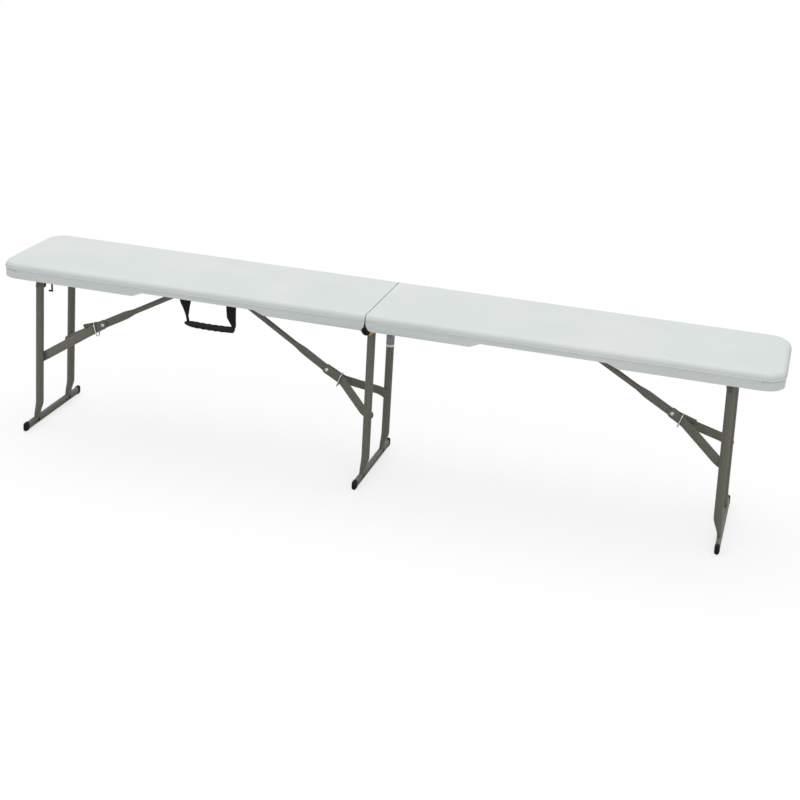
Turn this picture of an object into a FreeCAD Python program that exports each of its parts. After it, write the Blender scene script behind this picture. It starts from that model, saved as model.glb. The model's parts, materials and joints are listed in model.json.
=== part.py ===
import FreeCAD, Part
import math
import os
import re
import Sketcher

# Folding bench: two seat halves joined by a fold rod, on three folding legs with locking braces.
# Frame: X along the bench, Y across it, Z up; the origin is on the floor under the fold.
# Every driving size is in this table, in millimetres or degrees.
DIMENSIONS = [
    # Seat halves
    ("half_length", 915, "fold axis to the outer end of a half"),
    ("seat_width", 278, "across the seat"),
    ("seat_height", 430, "floor to the top of the seat"),
    ("fold_gap", 2, "gap between the halves"),
    ("corner_radius", 48, "outer corners in plan"),
    ("shoulder_height", 14, "top down to the moulding ledge"),
    ("shoulder_radius", 12, "rounding of the top edge"),
    ("ledge_step", 0.8, "how far the ledge stands out"),
    ("deep_skirt", 36.7, "top down to the rim's lower edge"),
    ("shallow_skirt", 26.5, "top down to the rim's edge in its relief"),
    ("relief_start", 265, "relief's end that is nearer the fold"),
    ("relief_end", 543, "relief's outer end"),
    ("relief_slope", 26, "length of the slope at each end of the relief"),
    ("slab_thickness", 15, "top to the underside between the rims"),
    ("rim_thickness", 8, "wall of the rim"),
    ("fold_corner_radius", 14, "rim's lower corner at the fold"),
    ("skin_thickness", 3, "moulded skin round the hollow of the slab"),
    ("channel_half_width", 12, "recess for the folded braces"),
    ("channel_depth", 12, "depth of that recess"),
    ("channel_start", 40, "recess, end nearer the fold"),
    ("channel_inset", 65, "seat's end to the recess"),
    ("void_inset", 55, "seat's end to the hollow of the slab"),
    ("void_start", 16, "end of the hollow nearer the fold"),
    ("dimple_radius", 7, "mouth of a moulded dimple"),
    ("dimple_tip_radius", 4, "bottom of a dimple"),
    ("dimple_depth", 9.5, "depth of a dimple"),
    ("dimple_wall", 2.5, "wall round a dimple"),
    ("dimple_row_inner", 46, "inner row from the middle"),
    ("dimple_row_outer", 100, "outer row from the middle"),
    ("dimple_first", 120, "first dimple from the fold"),
    ("dimple_pitch", 80, "dimple spacing"),
    ("dimple_count", 9, "dimples in a row"),
    # Fold hinge
    ("fold_drop", 41, "top down to the fold axis"),
    ("rod_radius", 5, "fold rod"),
    ("running_fit", 0.08, "radial clearance of pins and shafts"),
    ("leaf_thickness", 2.5, "hinge leaf sheet"),
    ("leaf_boss_radius", 14, "rounded end of a leaf"),
    ("leaf_reach", 62, "leaf's far end from the fold axis"),
    ("leaf_near", 18, "leaf's near end on the slab"),
    ("leaf_tail", 10, "height of a leaf's far end"),
    ("leaf_screw_inset", 8, "leaf screws from the ends of the flange"),
    ("leaf_flange", 13, "width of the screwed flange"),
    ("leaf_left_y", 112, "middle of the left half's leaf"),
    ("leaf_gap", 0.5, "between the two leaves of a pair"),
    ("rod_overhang", 2.2, "rod beyond the left leaf"),
    ("rod_cap_radius", 6.2, "plastic end cap of the rod"),
    ("rod_cap_length", 8.3, "length of that cap"),
    ("spacer_radius", 7.5, "spacer bush on the rod"),
    ("side_clearance", 0.4, "side play of pieces that turn"),
    # Legs
    ("hinge_inset_left", 78, "left leg hinge from the seat's end"),
    ("hinge_inset_right", 111, "right leg hinge from the seat's end"),
    ("leg_hinge_drop", 26.5, "top down to the end leg hinges"),
    ("leg_splay", 2.3, "outward lean of the end legs"),
    ("leg_spacing", 80.5, "uprights from the middle"),
    ("tube_radius", 9.5, "upright and cross tube"),
    ("tube_wall", 1.2, "wall of the tubes"),
    ("centre_top_reach", 9.5, "centre upright beyond the rod"),
    ("flat_thickness", 4, "pressed end of an upright"),
    ("flat_width", 27, "width of that pressed end"),
    ("flat_above_bar", 25, "pressed end, above the foot bar's middle"),
    ("flat_below_bar", 9, "pressed end, below the foot bar's middle"),
    ("press_length", 26, "change from round to flat"),
    ("cross_tube_half", 117, "half length of the hinge cross tube"),
    ("saddle_y", 105, "middle of a hinge saddle"),
    ("saddle_width", 16, "saddle across the bench"),
    ("saddle_wall", 2.4, "saddle below its tube"),
    ("saddle_half_body", 13.5, "half of the saddle's body"),
    ("saddle_half_base", 25, "half of the saddle's base"),
    ("saddle_base_thickness", 4.5, "base flange of the saddle"),
    ("saddle_chamfer", 5.5, "slope of the saddle's lower corners"),
    ("stop_bolt_drop", 38, "stop bolt below the hinge"),
    ("stop_bolt_radius", 3, "shank of the stop bolt"),
    ("stop_head_radius", 6, "head of the stop bolt"),
    ("stop_washer_radius", 11.1, "stop washer inside the upright"),
    ("stop_head_height", 2.4, "head and washer thickness"),
    # Feet
    ("bar_width", 11, "foot bar, along the bench"),
    ("bar_height", 20, "foot bar, upright"),
    ("bar_wall", 1.5, "wall of the foot bar"),
    ("bar_half", 128.5, "half length of the foot bar"),
    ("bar_middle", 11, "foot bar's middle above the floor"),
    ("cap_width", 11.4, "foot cap, along the bench"),
    ("cap_height", 22.6, "foot cap, upright"),
    ("cap_length", 14, "foot cap beyond the bar"),
    ("cap_rounding", 4.5, "rounded end of a foot cap"),
    ("plug_length", 16, "plug of the cap inside the bar"),
    ("plug_gap", 0.1, "play of that plug"),
    ("bar_hole_offset", 16, "spare hole beside each upright"),
    ("bar_hole_radius", 2.6, "spare hole"),
    ("foot_screw_radius", 2.5, "shank of a foot screw"),
    ("foot_screw_head", 5, "head of a foot screw"),
    ("foot_screw_length", 8.5, "shank of a foot screw"),
    # Braces
    ("pivot_reach_left", 404.9, "left brace's pivot from the leg's hinge"),
    ("pivot_reach_centre", 411.6, "centre brace's pivot from the fold"),
    ("pivot_reach_right", 383.3, "right brace's pivot from the leg's hinge"),
    ("pivot_drop", 20, "top down to the brace pivots"),
    ("knee_reach_left", 124, "left knee from the leg's hinge, along the bench"),
    ("knee_reach_centre", 129, "centre knee from the fold, along the bench"),
    ("knee_reach_right", 120, "right knee from the leg's hinge, along the bench"),
    ("knee_drop_left", 146.5, "left knee below the leg's hinge"),
    ("knee_drop_centre", 155.5, "centre knee below the fold axis"),
    ("knee_drop_right", 144.5, "right knee below the leg's hinge"),
    ("arm_drop_left", 229, "left arms' ends below the leg hinge"),
    ("arm_drop_centre", 224.5, "centre arms' ends below the rod"),
    ("arm_drop_right", 221, "right arms' ends below the leg hinge"),
    ("brace_radius", 6.5, "brace tube"),
    ("brace_flat_width", 20, "pressed part of the brace tube"),
    ("brace_flat_thickness", 4, "pressed part of the brace tube"),
    ("brace_flat_above", 65, "pressed part before the knee"),
    ("brace_press_length", 30, "change from round to flat"),
    ("brace_tail", 53, "brace tube beyond the knee"),
    ("brace_tail_rounding", 7, "corners of the tail"),
    ("brace_top_reach", 5, "brace tube beyond its pivot"),
    ("arm_width", 22, "strap arms"),
    ("arm_thickness", 2.5, "strap arms"),
    ("arm_gap", 0.3, "play between arm and tube"),
    ("arm_end_reach", 11, "arm before the knee"),
    ("arm_parallel_left", 32, "left arms side by side beyond the knee"),
    ("arm_parallel_centre", 43, "centre arms side by side beyond the knee"),
    ("arm_parallel_right", 32, "right arms side by side beyond the knee"),
    ("arm_pad", 16, "straight end beside the upright"),
    ("arm_end_flat", 0.05, "half of the flat in the middle of an arm's rounded end"),
    ("knee_rivet_radius", 3, "knee rivet"),
    ("knee_head_radius", 6.5, "head of the knee rivet"),
    ("rivet_head_height", 2.2, "head height of the rivets"),
    ("arm_rivet_radius", 2.5, "rivet at an arm's end"),
    ("arm_head_radius", 5.5, "head of that rivet"),
    ("ring_wire_radius", 1.6, "wire of the lock ring"),
    ("ring_half_width", 7.6, "inside of the ring, across"),
    ("ring_half_height_left", 15.9, "inside of the left ring, upright"),
    ("ring_half_height_centre", 16.7, "inside of the centre ring, upright"),
    ("ring_half_height_right", 15.6, "inside of the right ring, upright"),
    ("ring_tilt", 13, "how far the ring hangs from square"),
    ("ring_drop_left", 3.55, "how far the left ring hangs below the tube's line"),
    ("ring_drop_centre", 1, "how far the centre ring hangs below the tube's line"),
    ("ring_drop_right", 2.55, "how far the right ring hangs below the tube's line"),
    ("ring_rest_left", 23.3, "left ring beyond its knee"),
    ("ring_rest_centre", 39, "centre ring beyond its knee"),
    ("ring_rest_right", 23.8, "right ring beyond its knee"),
    # Brackets and screws under the seat
    ("bracket_thickness", 2, "web of a brace bracket"),
    ("bracket_ear", 2.5, "ear of a brace bracket"),
    ("bracket_half_base", 30, "half of the bracket's base across"),
    ("bracket_length", 19.6, "bracket along the bench"),
    ("bracket_ear_length", 18, "ear along the bench"),
    ("bracket_ear_drop", 6.3, "ears below the pivot"),
    ("ear_flat", 1, "what the rounding of an ear's corners leaves of that drop"),
    ("bracket_play", 0.7, "play between the tube and an ear"),
    ("bracket_screw_y", 22, "bracket screws from the middle"),
    ("pin_radius", 2.5, "pivot pin of a brace"),
    ("pin_head_radius", 2.9, "head of that pin"),
    ("pin_head_height", 1.5, "head of that pin"),
    ("screw_radius", 2, "shank of a seat screw"),
    ("screw_head_radius", 4, "head of a seat screw"),
    ("screw_head_height", 1.8, "head of a seat screw"),
    ("screw_grip", 2.8, "seat screw inside the slab's skin"),
    # Carry handle
    ("strap_left_x", -434, "middle of the left strap"),
    ("strap_right_x", -321, "middle of the right strap"),
    ("strap_width", 28, "webbing at the seat"),
    ("strap_low_width", 9, "webbing at the grip"),
    ("strap_low_share", 0.85, "webbing's low end, as a share of the way to the grip's end"),
    ("strap_thickness", 1.2, "webbing"),
    ("strap_gap", 0.3, "play between webbing and rim"),
    ("strap_above_axis", 0.3, "webbing above its bend"),
    ("root_height", 9, "webbing sewn inside the rim"),
    ("grip_half_length", 61, "grip"),
    ("grip_middle_x", -375, "middle of the grip"),
    ("grip_drop", 58, "grip's middle below the webbing's bend"),
    ("grip_height", 16, "grip, upright"),
    ("grip_depth", 12, "grip, across"),
    ("grip_sag", 2.5, "bow of the grip"),
    ("grip_rounding", 3.5, "long edges of the grip"),
    ("rib_count", 7, "ribs round the grip"),
    ("rib_pitch", 11, "rib spacing"),
    ("rib_width", 5, "width of a rib"),
    ("rib_height", 0.9, "rib beyond the grip"),
    # Closing hook
    ("hook_inset", 136, "hook's screw from the seat's end"),
    ("hook_drop", 30, "top down to the hook's screw"),
    ("hook_thickness", 2, "hook plate"),
    ("hook_width", 4, "hook shank"),
    ("hook_length", 29, "hook below its screw"),
    ("hook_tip", 7, "hook's tip beyond its shank"),
    ("hook_eye_radius", 5, "eye of the hook"),
    ("hook_screw_radius", 1.6, "hook's screw"),
    ("hook_head_radius", 4, "head of the hook's screw"),
    ("hook_screw_depth", 5, "that screw inside the rim"),
    ("hook_swing", 25, "turn of the hook to its peg"),
    ("peg_radius", 2, "peg on the right half"),
    ("peg_length", 4, "peg inside the rim"),
    ("peg_gap", 0.3, "play of the peg in the hook"),
    # Plain label on the rear centre upright
    ("label_bottom", 285, "lower edge above the floor"),
    ("label_height", 29, "height of the label"),
    ("label_thickness", 0.4, "label wrap"),
    # Cuts
    ("overrun", 1, "how far a cut runs out of the material"),
]
ALIASES = {row[0] for row in DIMENSIONS}

doc = FreeCAD.newDocument("folding_bench")
sheet = doc.addObject("Spreadsheet::Sheet", "dimensions")
for row_number, (alias, amount, meaning) in enumerate(DIMENSIONS, start=1):
    sheet.set(f"A{row_number}", alias)
    sheet.set(f"B{row_number}", str(amount))
    sheet.set(f"C{row_number}", meaning)
    sheet.setAlias(f"B{row_number}", alias)
doc.recompute()

VECTOR = FreeCAD.Vector
UP = VECTOR(0, 0, 1)
HAIR = 0.05
parts = {}


def number(expression):
    """The value of an expression over the table's names."""
    found = sheet.evalExpression(expression)
    return float(getattr(found, "Value", found))


def linked(expression):
    """The same expression with each table name pointed at the table."""
    return re.sub(r"[a-z_]+", lambda word: "dimensions." + word.group() if word.group() in ALIASES
                  else word.group(), expression)


def bind(target, **expressions):
    """Ties properties of an object to expressions over the table."""
    for name, expression in expressions.items():
        target.setExpression(name, linked(expression))
    return target


def place(target, x="0", y="0", z="0", angle="0", axis="0; 1; 0"):
    """Ties an object's place and its turn about an axis to the table."""
    target.setExpression("Placement", linked(
        f"create(<<placement>>; create(<<vector>>; {x}; {y}; {z}); "
        f"create(<<rotation>>; create(<<vector>>; {axis}); {angle}))"))
    return target


def keep(target, node):
    """Names a finished sub-part."""
    target.Label = node
    parts[node] = target
    return target


def new_body(name):
    """An empty body."""
    return doc.addObject("PartDesign::Body", name)


def new_sketch(body, role, offset):
    """A sketch on one of the body's own planes, moved along the plane's normal."""
    plane = next(item for item in body.Origin.OriginFeatures if item.Role == role)
    sketch = body.newObject("Sketcher::SketchObject", body.Name + "_sketch")
    sketch.AttachmentSupport = [(plane, "")]
    sketch.MapMode = "FlatFace"
    sketch.setExpression("AttachmentOffset.Base.z", linked(offset))
    return sketch


def constrain(sketch, kind, *where, expression):
    """Adds a sized constraint and ties it to an expression."""
    index = sketch.addConstraint(Sketcher.Constraint(kind, *where, number(expression)))
    sketch.renameConstraint(index, f"size{index}")
    sketch.setExpression(f"Constraints.size{index}", linked(expression))


def outline(body, role, offset, points, arcs=None):
    """A closed outline through points; arcs maps an edge to its radius and its turn (1 is anticlockwise)."""
    arcs = arcs or {}
    sketch = new_sketch(body, role, offset)
    spots = [VECTOR(number(x), number(y), 0) for x, y in points]
    ends = []
    for index, start in enumerate(spots):
        stop = spots[(index + 1) % len(spots)]
        if index in arcs:
            radius = number(arcs[index][0])
            turn = arcs[index][1]
            chord = stop - start
            rise = math.sqrt(max(radius ** 2 - (chord.Length / 2) ** 2, 0))
            centre = (start + stop) / 2 + UP.cross(chord).normalize() * rise * turn
            first, last = (start, stop) if turn > 0 else (stop, start)
            first_angle = math.atan2(first.y - centre.y, first.x - centre.x)
            last_angle = math.atan2(last.y - centre.y, last.x - centre.x)
            if last_angle < first_angle:
                last_angle += 2 * math.pi
            curve = Part.ArcOfCircle(Part.Circle(centre, UP, radius), first_angle, last_angle)
            ends.append((1, 2) if turn > 0 else (2, 1))
        else:
            curve = Part.LineSegment(start, stop)
            ends.append((1, 2))
        sketch.addGeometry(curve)
    for index in range(len(spots)):
        after = (index + 1) % len(spots)
        sketch.addConstraint(Sketcher.Constraint("Coincident", index, ends[index][1], after, ends[after][0]))
    for index, (x, y) in enumerate(points):
        constrain(sketch, "DistanceX", -1, 1, index, ends[index][0], expression=x)
        constrain(sketch, "DistanceY", -1, 1, index, ends[index][0], expression=y)
    for index, (radius, turn) in arcs.items():
        constrain(sketch, "Radius", index, expression=radius)
    return sketch


def circles(body, role, offset, x, y, *radii):
    """A sketch of circles on one centre."""
    sketch = new_sketch(body, role, offset)
    centre = VECTOR(number(x), number(y), 0)
    for index, radius in enumerate(radii):
        sketch.addGeometry(Part.Circle(centre, UP, number(radius)))
        constrain(sketch, "DistanceX", -1, 1, index, 3, expression=x)
        constrain(sketch, "DistanceY", -1, 1, index, 3, expression=y)
        constrain(sketch, "Radius", index, expression=radius)
    return sketch


def four_arc_points(half_x, half_y):
    """Corner points of a rounded section, anticlockwise from its lower right."""
    low_x, low_y = f"-({half_x})", f"-({half_y})"
    return [(half_x, low_y), (half_x, half_y), (low_x, half_y), (low_x, low_y)]


def round_section(body, offset, radius, role="XY_Plane"):
    """A circle drawn as four arcs, so that it blends evenly into a flat section."""
    reach = f"({radius}) * cos(45)"
    arcs = {index: (radius, 1) for index in range(4)}
    return outline(body, role, offset, four_arc_points(reach, reach), arcs)


def flat_section(body, offset, width, thickness, along_y, role="XY_Plane"):
    """A flat section with round ends, its width along the sketch's second axis or its first."""
    sketch = new_sketch(body, role, offset)
    half = f"(({width}) - ({thickness})) / 2"
    radius = f"({thickness}) / 2"
    points = four_arc_points(radius, half) if along_y else four_arc_points(half, radius)
    spots = [VECTOR(number(x), number(y), 0) for x, y in points]
    middle = VECTOR(0, number(half), 0) if along_y else VECTOR(number(half), 0, 0)
    quarter = math.pi / 2
    first_turn = 0 if along_y else -quarter
    round_edges = (1, 3) if along_y else (0, 2)
    for index, start in enumerate(spots):
        if index in round_edges:
            centre = middle if index == round_edges[0] else middle * -1
            begin = first_turn + (math.pi if index == round_edges[1] else 0)
            full = Part.Circle(centre, UP, number(radius))
            sketch.addGeometry(Part.ArcOfCircle(full, begin, begin + math.pi))
        else:
            sketch.addGeometry(Part.LineSegment(start, spots[(index + 1) % 4]))
    for index in range(4):
        sketch.addConstraint(Sketcher.Constraint("Coincident", index, 2, (index + 1) % 4, 1))
    along, across = ("DistanceY", "DistanceX") if along_y else ("DistanceX", "DistanceY")
    for index, sign in zip(round_edges, ("", "-")):
        constrain(sketch, along, -1, 1, index, 3, expression=f"{sign}({half})")
        constrain(sketch, across, -1, 1, index, 3, expression="0")
        constrain(sketch, "Radius", index, expression=radius)
        constrain(sketch, along, -1, 1, index, 1, expression=f"{sign}({half})")
        constrain(sketch, along, -1, 1, index, 2, expression=f"{sign}({half})")
    return sketch


def pad(body, sketch, length, both_ways=False, backwards=False):
    """Thickens a sketch."""
    feature = body.newObject("PartDesign::Pad", body.Name + "_pad")
    feature.Profile = sketch
    feature.Midplane = both_ways
    feature.Reversed = backwards
    return bind(feature, Length=length)


def pocket(body, sketch, length, both_ways=False, backwards=False):
    """Cuts a sketch out, against its normal unless backwards."""
    before = body_volume(body)
    feature = body.newObject("PartDesign::Pocket", body.Name + "_pocket")
    feature.Profile = sketch
    feature.Midplane = both_ways
    feature.Reversed = backwards
    bind(feature, Length=length)
    if not body_volume(body) < before:
        raise ValueError(f"{feature.Name} cuts nothing")
    return feature


def body_volume(body):
    """The body's volume after a fresh recompute."""
    doc.recompute()
    return body.Shape.Volume


def fillet(body, radius, chosen):
    """Rounds the edges of the body's latest feature that the test picks."""
    doc.recompute()
    base = body.Tip
    names = [f"Edge{index}" for index, edge in enumerate(base.Shape.Edges, start=1) if chosen(edge)]
    if not names:
        raise ValueError(f"{body.Name} has no edge to round")
    feature = body.newObject("PartDesign::Fillet", body.Name + "_fillet")
    feature.Base = (base, names)
    return bind(feature, Radius=radius)


def runs_along(edge, direction):
    """Whether a straight edge runs along a direction."""
    if edge.Curve.TypeId != "Part::GeomLine":
        return False
    return abs(edge.Curve.Direction.dot(direction)) > 0.999


def near(first, second):
    """Whether two lengths are the same within a hair."""
    return abs(first - second) < HAIR


def cylinder(name, radius, height):
    """A cylinder along Z from the origin."""
    return bind(doc.addObject("Part::Cylinder", name), Radius=radius, Height=height)


def cross_cylinder(name, radius, low, high, x, z):
    """A cylinder along Y between two depths."""
    item = cylinder(name, radius, f"({high}) - ({low})")
    return place(item, x, low, z, "-90", "1; 0; 0")


def box(name, low, high):
    """A box between two corners."""
    item = bind(doc.addObject("Part::Box", name), Length=f"({high[0]}) - ({low[0]})",
                Width=f"({high[1]}) - ({low[1]})", Height=f"({high[2]}) - ({low[2]})")
    return place(item, *low)


def fuse(name, pieces):
    """One solid from several."""
    item = doc.addObject("Part::MultiFuse", name)
    item.Shapes = pieces
    return item


def group(name, pieces):
    """Several separate solids as one object."""
    item = doc.addObject("Part::Compound", name)
    item.Links = pieces
    return item


def cut(name, base, tool):
    """One object less another."""
    item = doc.addObject("Part::Cut", name)
    item.Base = base
    item.Tool = tool
    return item


SLAB_Z = "seat_height - slab_thickness"
FOLD_Z = "(seat_height - fold_drop)"
LEG_HINGE_Z = "(seat_height - leg_hinge_drop)"
PIVOT_Z = "(seat_height - pivot_drop)"
HOOK_X = "(hook_inset - half_length)"
HOOK_Z = "(seat_height - hook_drop)"
RIM_INSIDE = "(seat_width / 2 - rim_thickness)"
FRONT_REAR = (("front", -1), ("rear", 1))
HALVES = {"left": -1, "right": 1}
LEGS = {
    "left": {"x": "(hinge_inset_left - half_length)", "z": LEG_HINGE_Z, "tilt": "leg_splay", "foot": -1},
    "centre": {"x": "0", "z": FOLD_Z, "tilt": "0", "foot": -1},
    "right": {"x": "(half_length - hinge_inset_right)", "z": LEG_HINGE_Z, "tilt": "-leg_splay", "foot": 1},
}
BRACE_SIDE = {"left": 1, "centre": -1, "right": -1}


def panel_outline(body, offset, side, inset, outer_inset, radius):
    """A half's plan: square at the fold and rounded at the outer corners."""
    fold_x = f"{side} * fold_gap / 2"
    end_x = f"{side} * (half_length - ({outer_inset}))"
    corner_x = f"{side} * (half_length - ({outer_inset}) - ({radius}))"
    half_y = f"(seat_width / 2 - ({inset}))"
    corner_y = f"({half_y} - ({radius}))"
    points = [(fold_x, f"-{half_y}"), (corner_x, f"-{half_y}"), (end_x, f"-{corner_y}"),
              (end_x, corner_y), (corner_x, half_y), (fold_x, half_y)]
    return outline(body, "XY_Plane", offset, points, {1: (radius, side), 3: (radius, side)})


def seat_shell(name, side):
    """The moulded half without its hollow: top, ledge, rims, relief and channel."""
    body = new_body(f"seat_shell_{name}")
    skirt_z = "seat_height - deep_skirt"
    ledge_z = "seat_height - shoulder_height"
    pad(body, panel_outline(body, skirt_z, side, "0", "0", "corner_radius"), "deep_skirt - shoulder_height")
    top = panel_outline(body, ledge_z, side, "ledge_step", "ledge_step", "corner_radius - ledge_step")
    pad(body, top, "shoulder_height")
    fold_x = side * number("fold_gap / 2")
    top_z = number("seat_height")
    fillet(body, "shoulder_radius", lambda edge: near(edge.BoundBox.ZMin, top_z)
           and not (near(edge.BoundBox.XMin, fold_x) and near(edge.BoundBox.XMax, fold_x)))
    inside = panel_outline(body, skirt_z, side, "rim_thickness", "rim_thickness",
                           "corner_radius - rim_thickness")
    pocket(body, inside, "deep_skirt - slab_thickness", backwards=True)
    low = f"{skirt_z} - overrun"
    high = "seat_height - shallow_skirt"
    relief = [(f"{side} * (relief_start - relief_slope)", low), (f"{side} * relief_start", high),
              (f"{side} * relief_end", high), (f"{side} * (relief_end + relief_slope)", low)]
    pocket(body, outline(body, "XZ_Plane", "0", relief), "seat_width + overrun * 2", both_ways=True)
    corner = f"{side} * fold_gap / 2"
    corner_out = f"{side} * (fold_gap / 2 + fold_corner_radius)"
    edge_points = [(corner, f"{skirt_z} + fold_corner_radius"), (corner_out, skirt_z),
                   (corner_out, f"{skirt_z} - overrun"), (f"-({side}) * overrun", f"{skirt_z} - overrun"),
                   (f"-({side}) * overrun", f"{skirt_z} + fold_corner_radius")]
    rounding = outline(body, "XZ_Plane", "0", edge_points, {0: ("fold_corner_radius", side)})
    pocket(body, rounding, "seat_width + overrun * 2", both_ways=True)
    start, stop = f"{side} * channel_start", f"{side} * (half_length - channel_inset)"
    channel = [(start, "-channel_half_width"), (stop, "-channel_half_width"),
               (stop, "channel_half_width"), (start, "channel_half_width")]
    pocket(body, outline(body, "XY_Plane", SLAB_Z, channel), "channel_depth", backwards=True)
    return body


def spans(first, second, side):
    """Two distances from the fold as a low and a high X on one side of it."""
    if side > 0:
        return first, second
    return f"-({second})", f"-({first})"


def dimple(name, side, index, row, extra):
    """A cone up from the underside; extra is the wall round it."""
    item = doc.addObject("Part::Cone", name)
    reach = "slab_thickness" if extra != "0" else "dimple_depth"
    bind(item, Radius1=f"dimple_radius + {extra}", Radius2=f"dimple_tip_radius + {extra}", Height=reach)
    return place(item, f"{side} * (dimple_first + {index} * dimple_pitch)", row, SLAB_Z)


def hollow(name, side):
    """The hollow of the slab: two boxes, less the posts that join its two skins."""
    low_x, high_x = spans("void_start", "half_length - void_inset", side)
    inner = "(channel_half_width + skin_thickness)"
    outer = f"({RIM_INSIDE} - skin_thickness)"
    low_z = f"{SLAB_Z} + skin_thickness"
    high_z = "seat_height - skin_thickness"
    boxes = [box(f"void_{name}_front", (low_x, f"-{outer}", low_z), (high_x, f"-{inner}", high_z)),
             box(f"void_{name}_rear", (low_x, inner, low_z), (high_x, outer, high_z))]
    rows = ("-dimple_row_outer", "-dimple_row_inner", "dimple_row_inner", "dimple_row_outer")
    spots = [(index, row) for index in range(int(number("dimple_count"))) for row in rows]
    posts = [dimple(f"post_{name}", side, index, row, "dimple_wall") for index, row in spots]
    pits = [dimple(f"pit_{name}", side, index, row, "0") for index, row in spots]
    space = cut(f"hollow_{name}", group(f"void_{name}", boxes), group(f"posts_{name}", posts))
    return group(f"hollows_{name}", [space] + pits)


def seat_screw(name, x, y, seat):
    """A round-headed screw up into the slab's skin, its head under a flange of a given thickness."""
    top = f"{SLAB_Z} + screw_grip"
    head_z = f"{SLAB_Z} - ({seat}) - screw_head_height"
    shank = place(cylinder(name, "screw_radius", f"screw_grip + ({seat}) + screw_head_height / 2"), x, y,
                  f"{top} - (screw_grip + ({seat}) + screw_head_height / 2)")
    head = place(cylinder(name, "screw_head_radius", "screw_head_height"), x, y, head_z)
    return fuse(name, [shank, head])


def screw_spots(name, side):
    """Where the seat screws of a half are, with the thickness that each one clamps."""
    spots = []
    for row in (-1, 1):
        for reach in ("leaf_reach - leaf_screw_inset", "leaf_near + leaf_screw_inset"):
            spots.append((f"{side} * ({reach})", f"{row} * ({leaf_flange_middle(name)})", "leaf_thickness"))
        for shift in (-1, 1):
            middle = "(saddle_half_base + saddle_half_body) / 2"
            spots.append((f"{LEGS[name]['x']} + {shift} * {middle}", f"{row} * saddle_y",
                          "saddle_base_thickness"))
        spots.append((pivot_x(name), f"{row} * bracket_screw_y", "bracket_thickness"))
        if name == "left":
            spots.append((pivot_x("centre"), f"{row} * bracket_screw_y", "bracket_thickness"))
    return spots


def seat_half(name, side):
    """A seat half with its hollow, its dimples and its screw holes, and the screws."""
    screws = group(f"screws_{name}",
                   [seat_screw(f"seat_screw_{name}", *spot) for spot in screw_spots(name, side)])
    keep(screws, f"seat_screws_{name}")
    shell = cut(f"shell_{name}", seat_shell(name, side), hollow(name, side))
    panel = cut(f"panel_{name}", shell, screws)
    inside = f"-{RIM_INSIDE} + overrun"
    if name == "left":
        hole = cross_cylinder("hook_hole", "hook_screw_radius", f"-{RIM_INSIDE} - hook_screw_depth", inside,
                              HOOK_X, HOOK_Z)
    else:
        hole = cross_cylinder("peg_hole", "peg_radius", f"-{RIM_INSIDE} - peg_length", inside, *peg_place())
    keep(cut(f"drilled_{name}", panel, hole), f"seat_panel_{name}")


def leaf_plate_y(name):
    """The middle of a leaf's upright plate."""
    return "leaf_left_y" if name == "left" else "(leaf_left_y - leaf_thickness - leaf_gap)"


def leaf_flange_middle(name):
    """The middle of a leaf's flange."""
    return f"{leaf_plate_y(name)} + leaf_thickness / 2 + leaf_flange / 2"


def hinge_leaf(name, side, where, row):
    """An upright plate with a round boss on the rod and a flange under the slab."""
    body = new_body(f"leaf_{name}_{where}")
    middle = f"-({row}) * {leaf_plate_y(name)}"
    boss = circles(body, "XZ_Plane", middle, "0", FOLD_Z, "leaf_boss_radius")
    pad(body, boss, "leaf_thickness", both_ways=True)
    corner = "leaf_boss_radius * cos(45)"
    points = [(f"{side} * leaf_reach", SLAB_Z), (f"{side} * leaf_near", SLAB_Z),
              (f"{side} * {corner}", f"{FOLD_Z} + {corner}"),
              (f"{side} * {corner}", f"{FOLD_Z} - {corner}"),
              (f"{side} * leaf_reach", f"{SLAB_Z} - leaf_tail")]
    pad(body, outline(body, "XZ_Plane", middle, points), "leaf_thickness", both_ways=True)
    inner = f"{row} * ({leaf_plate_y(name)} - leaf_thickness / 2)"
    outer = f"{row} * ({leaf_plate_y(name)} + leaf_thickness / 2 + leaf_flange)"
    flange = [(f"{side} * leaf_near", inner), (f"{side} * leaf_reach", inner),
              (f"{side} * leaf_reach", outer), (f"{side} * leaf_near", outer)]
    pad(body, outline(body, "XY_Plane", SLAB_Z, flange), "leaf_thickness", backwards=True)
    fit = "0" if name == "left" else "running_fit"
    bore = circles(body, "XZ_Plane", middle, "0", FOLD_Z, f"rod_radius + {fit}")
    pocket(body, bore, "leaf_thickness * 3", both_ways=True)
    keep(cut(f"leaf_cut_{name}_{where}", body, parts[f"seat_screws_{name}"]), f"hinge_leaf_{name}_{where}")


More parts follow.
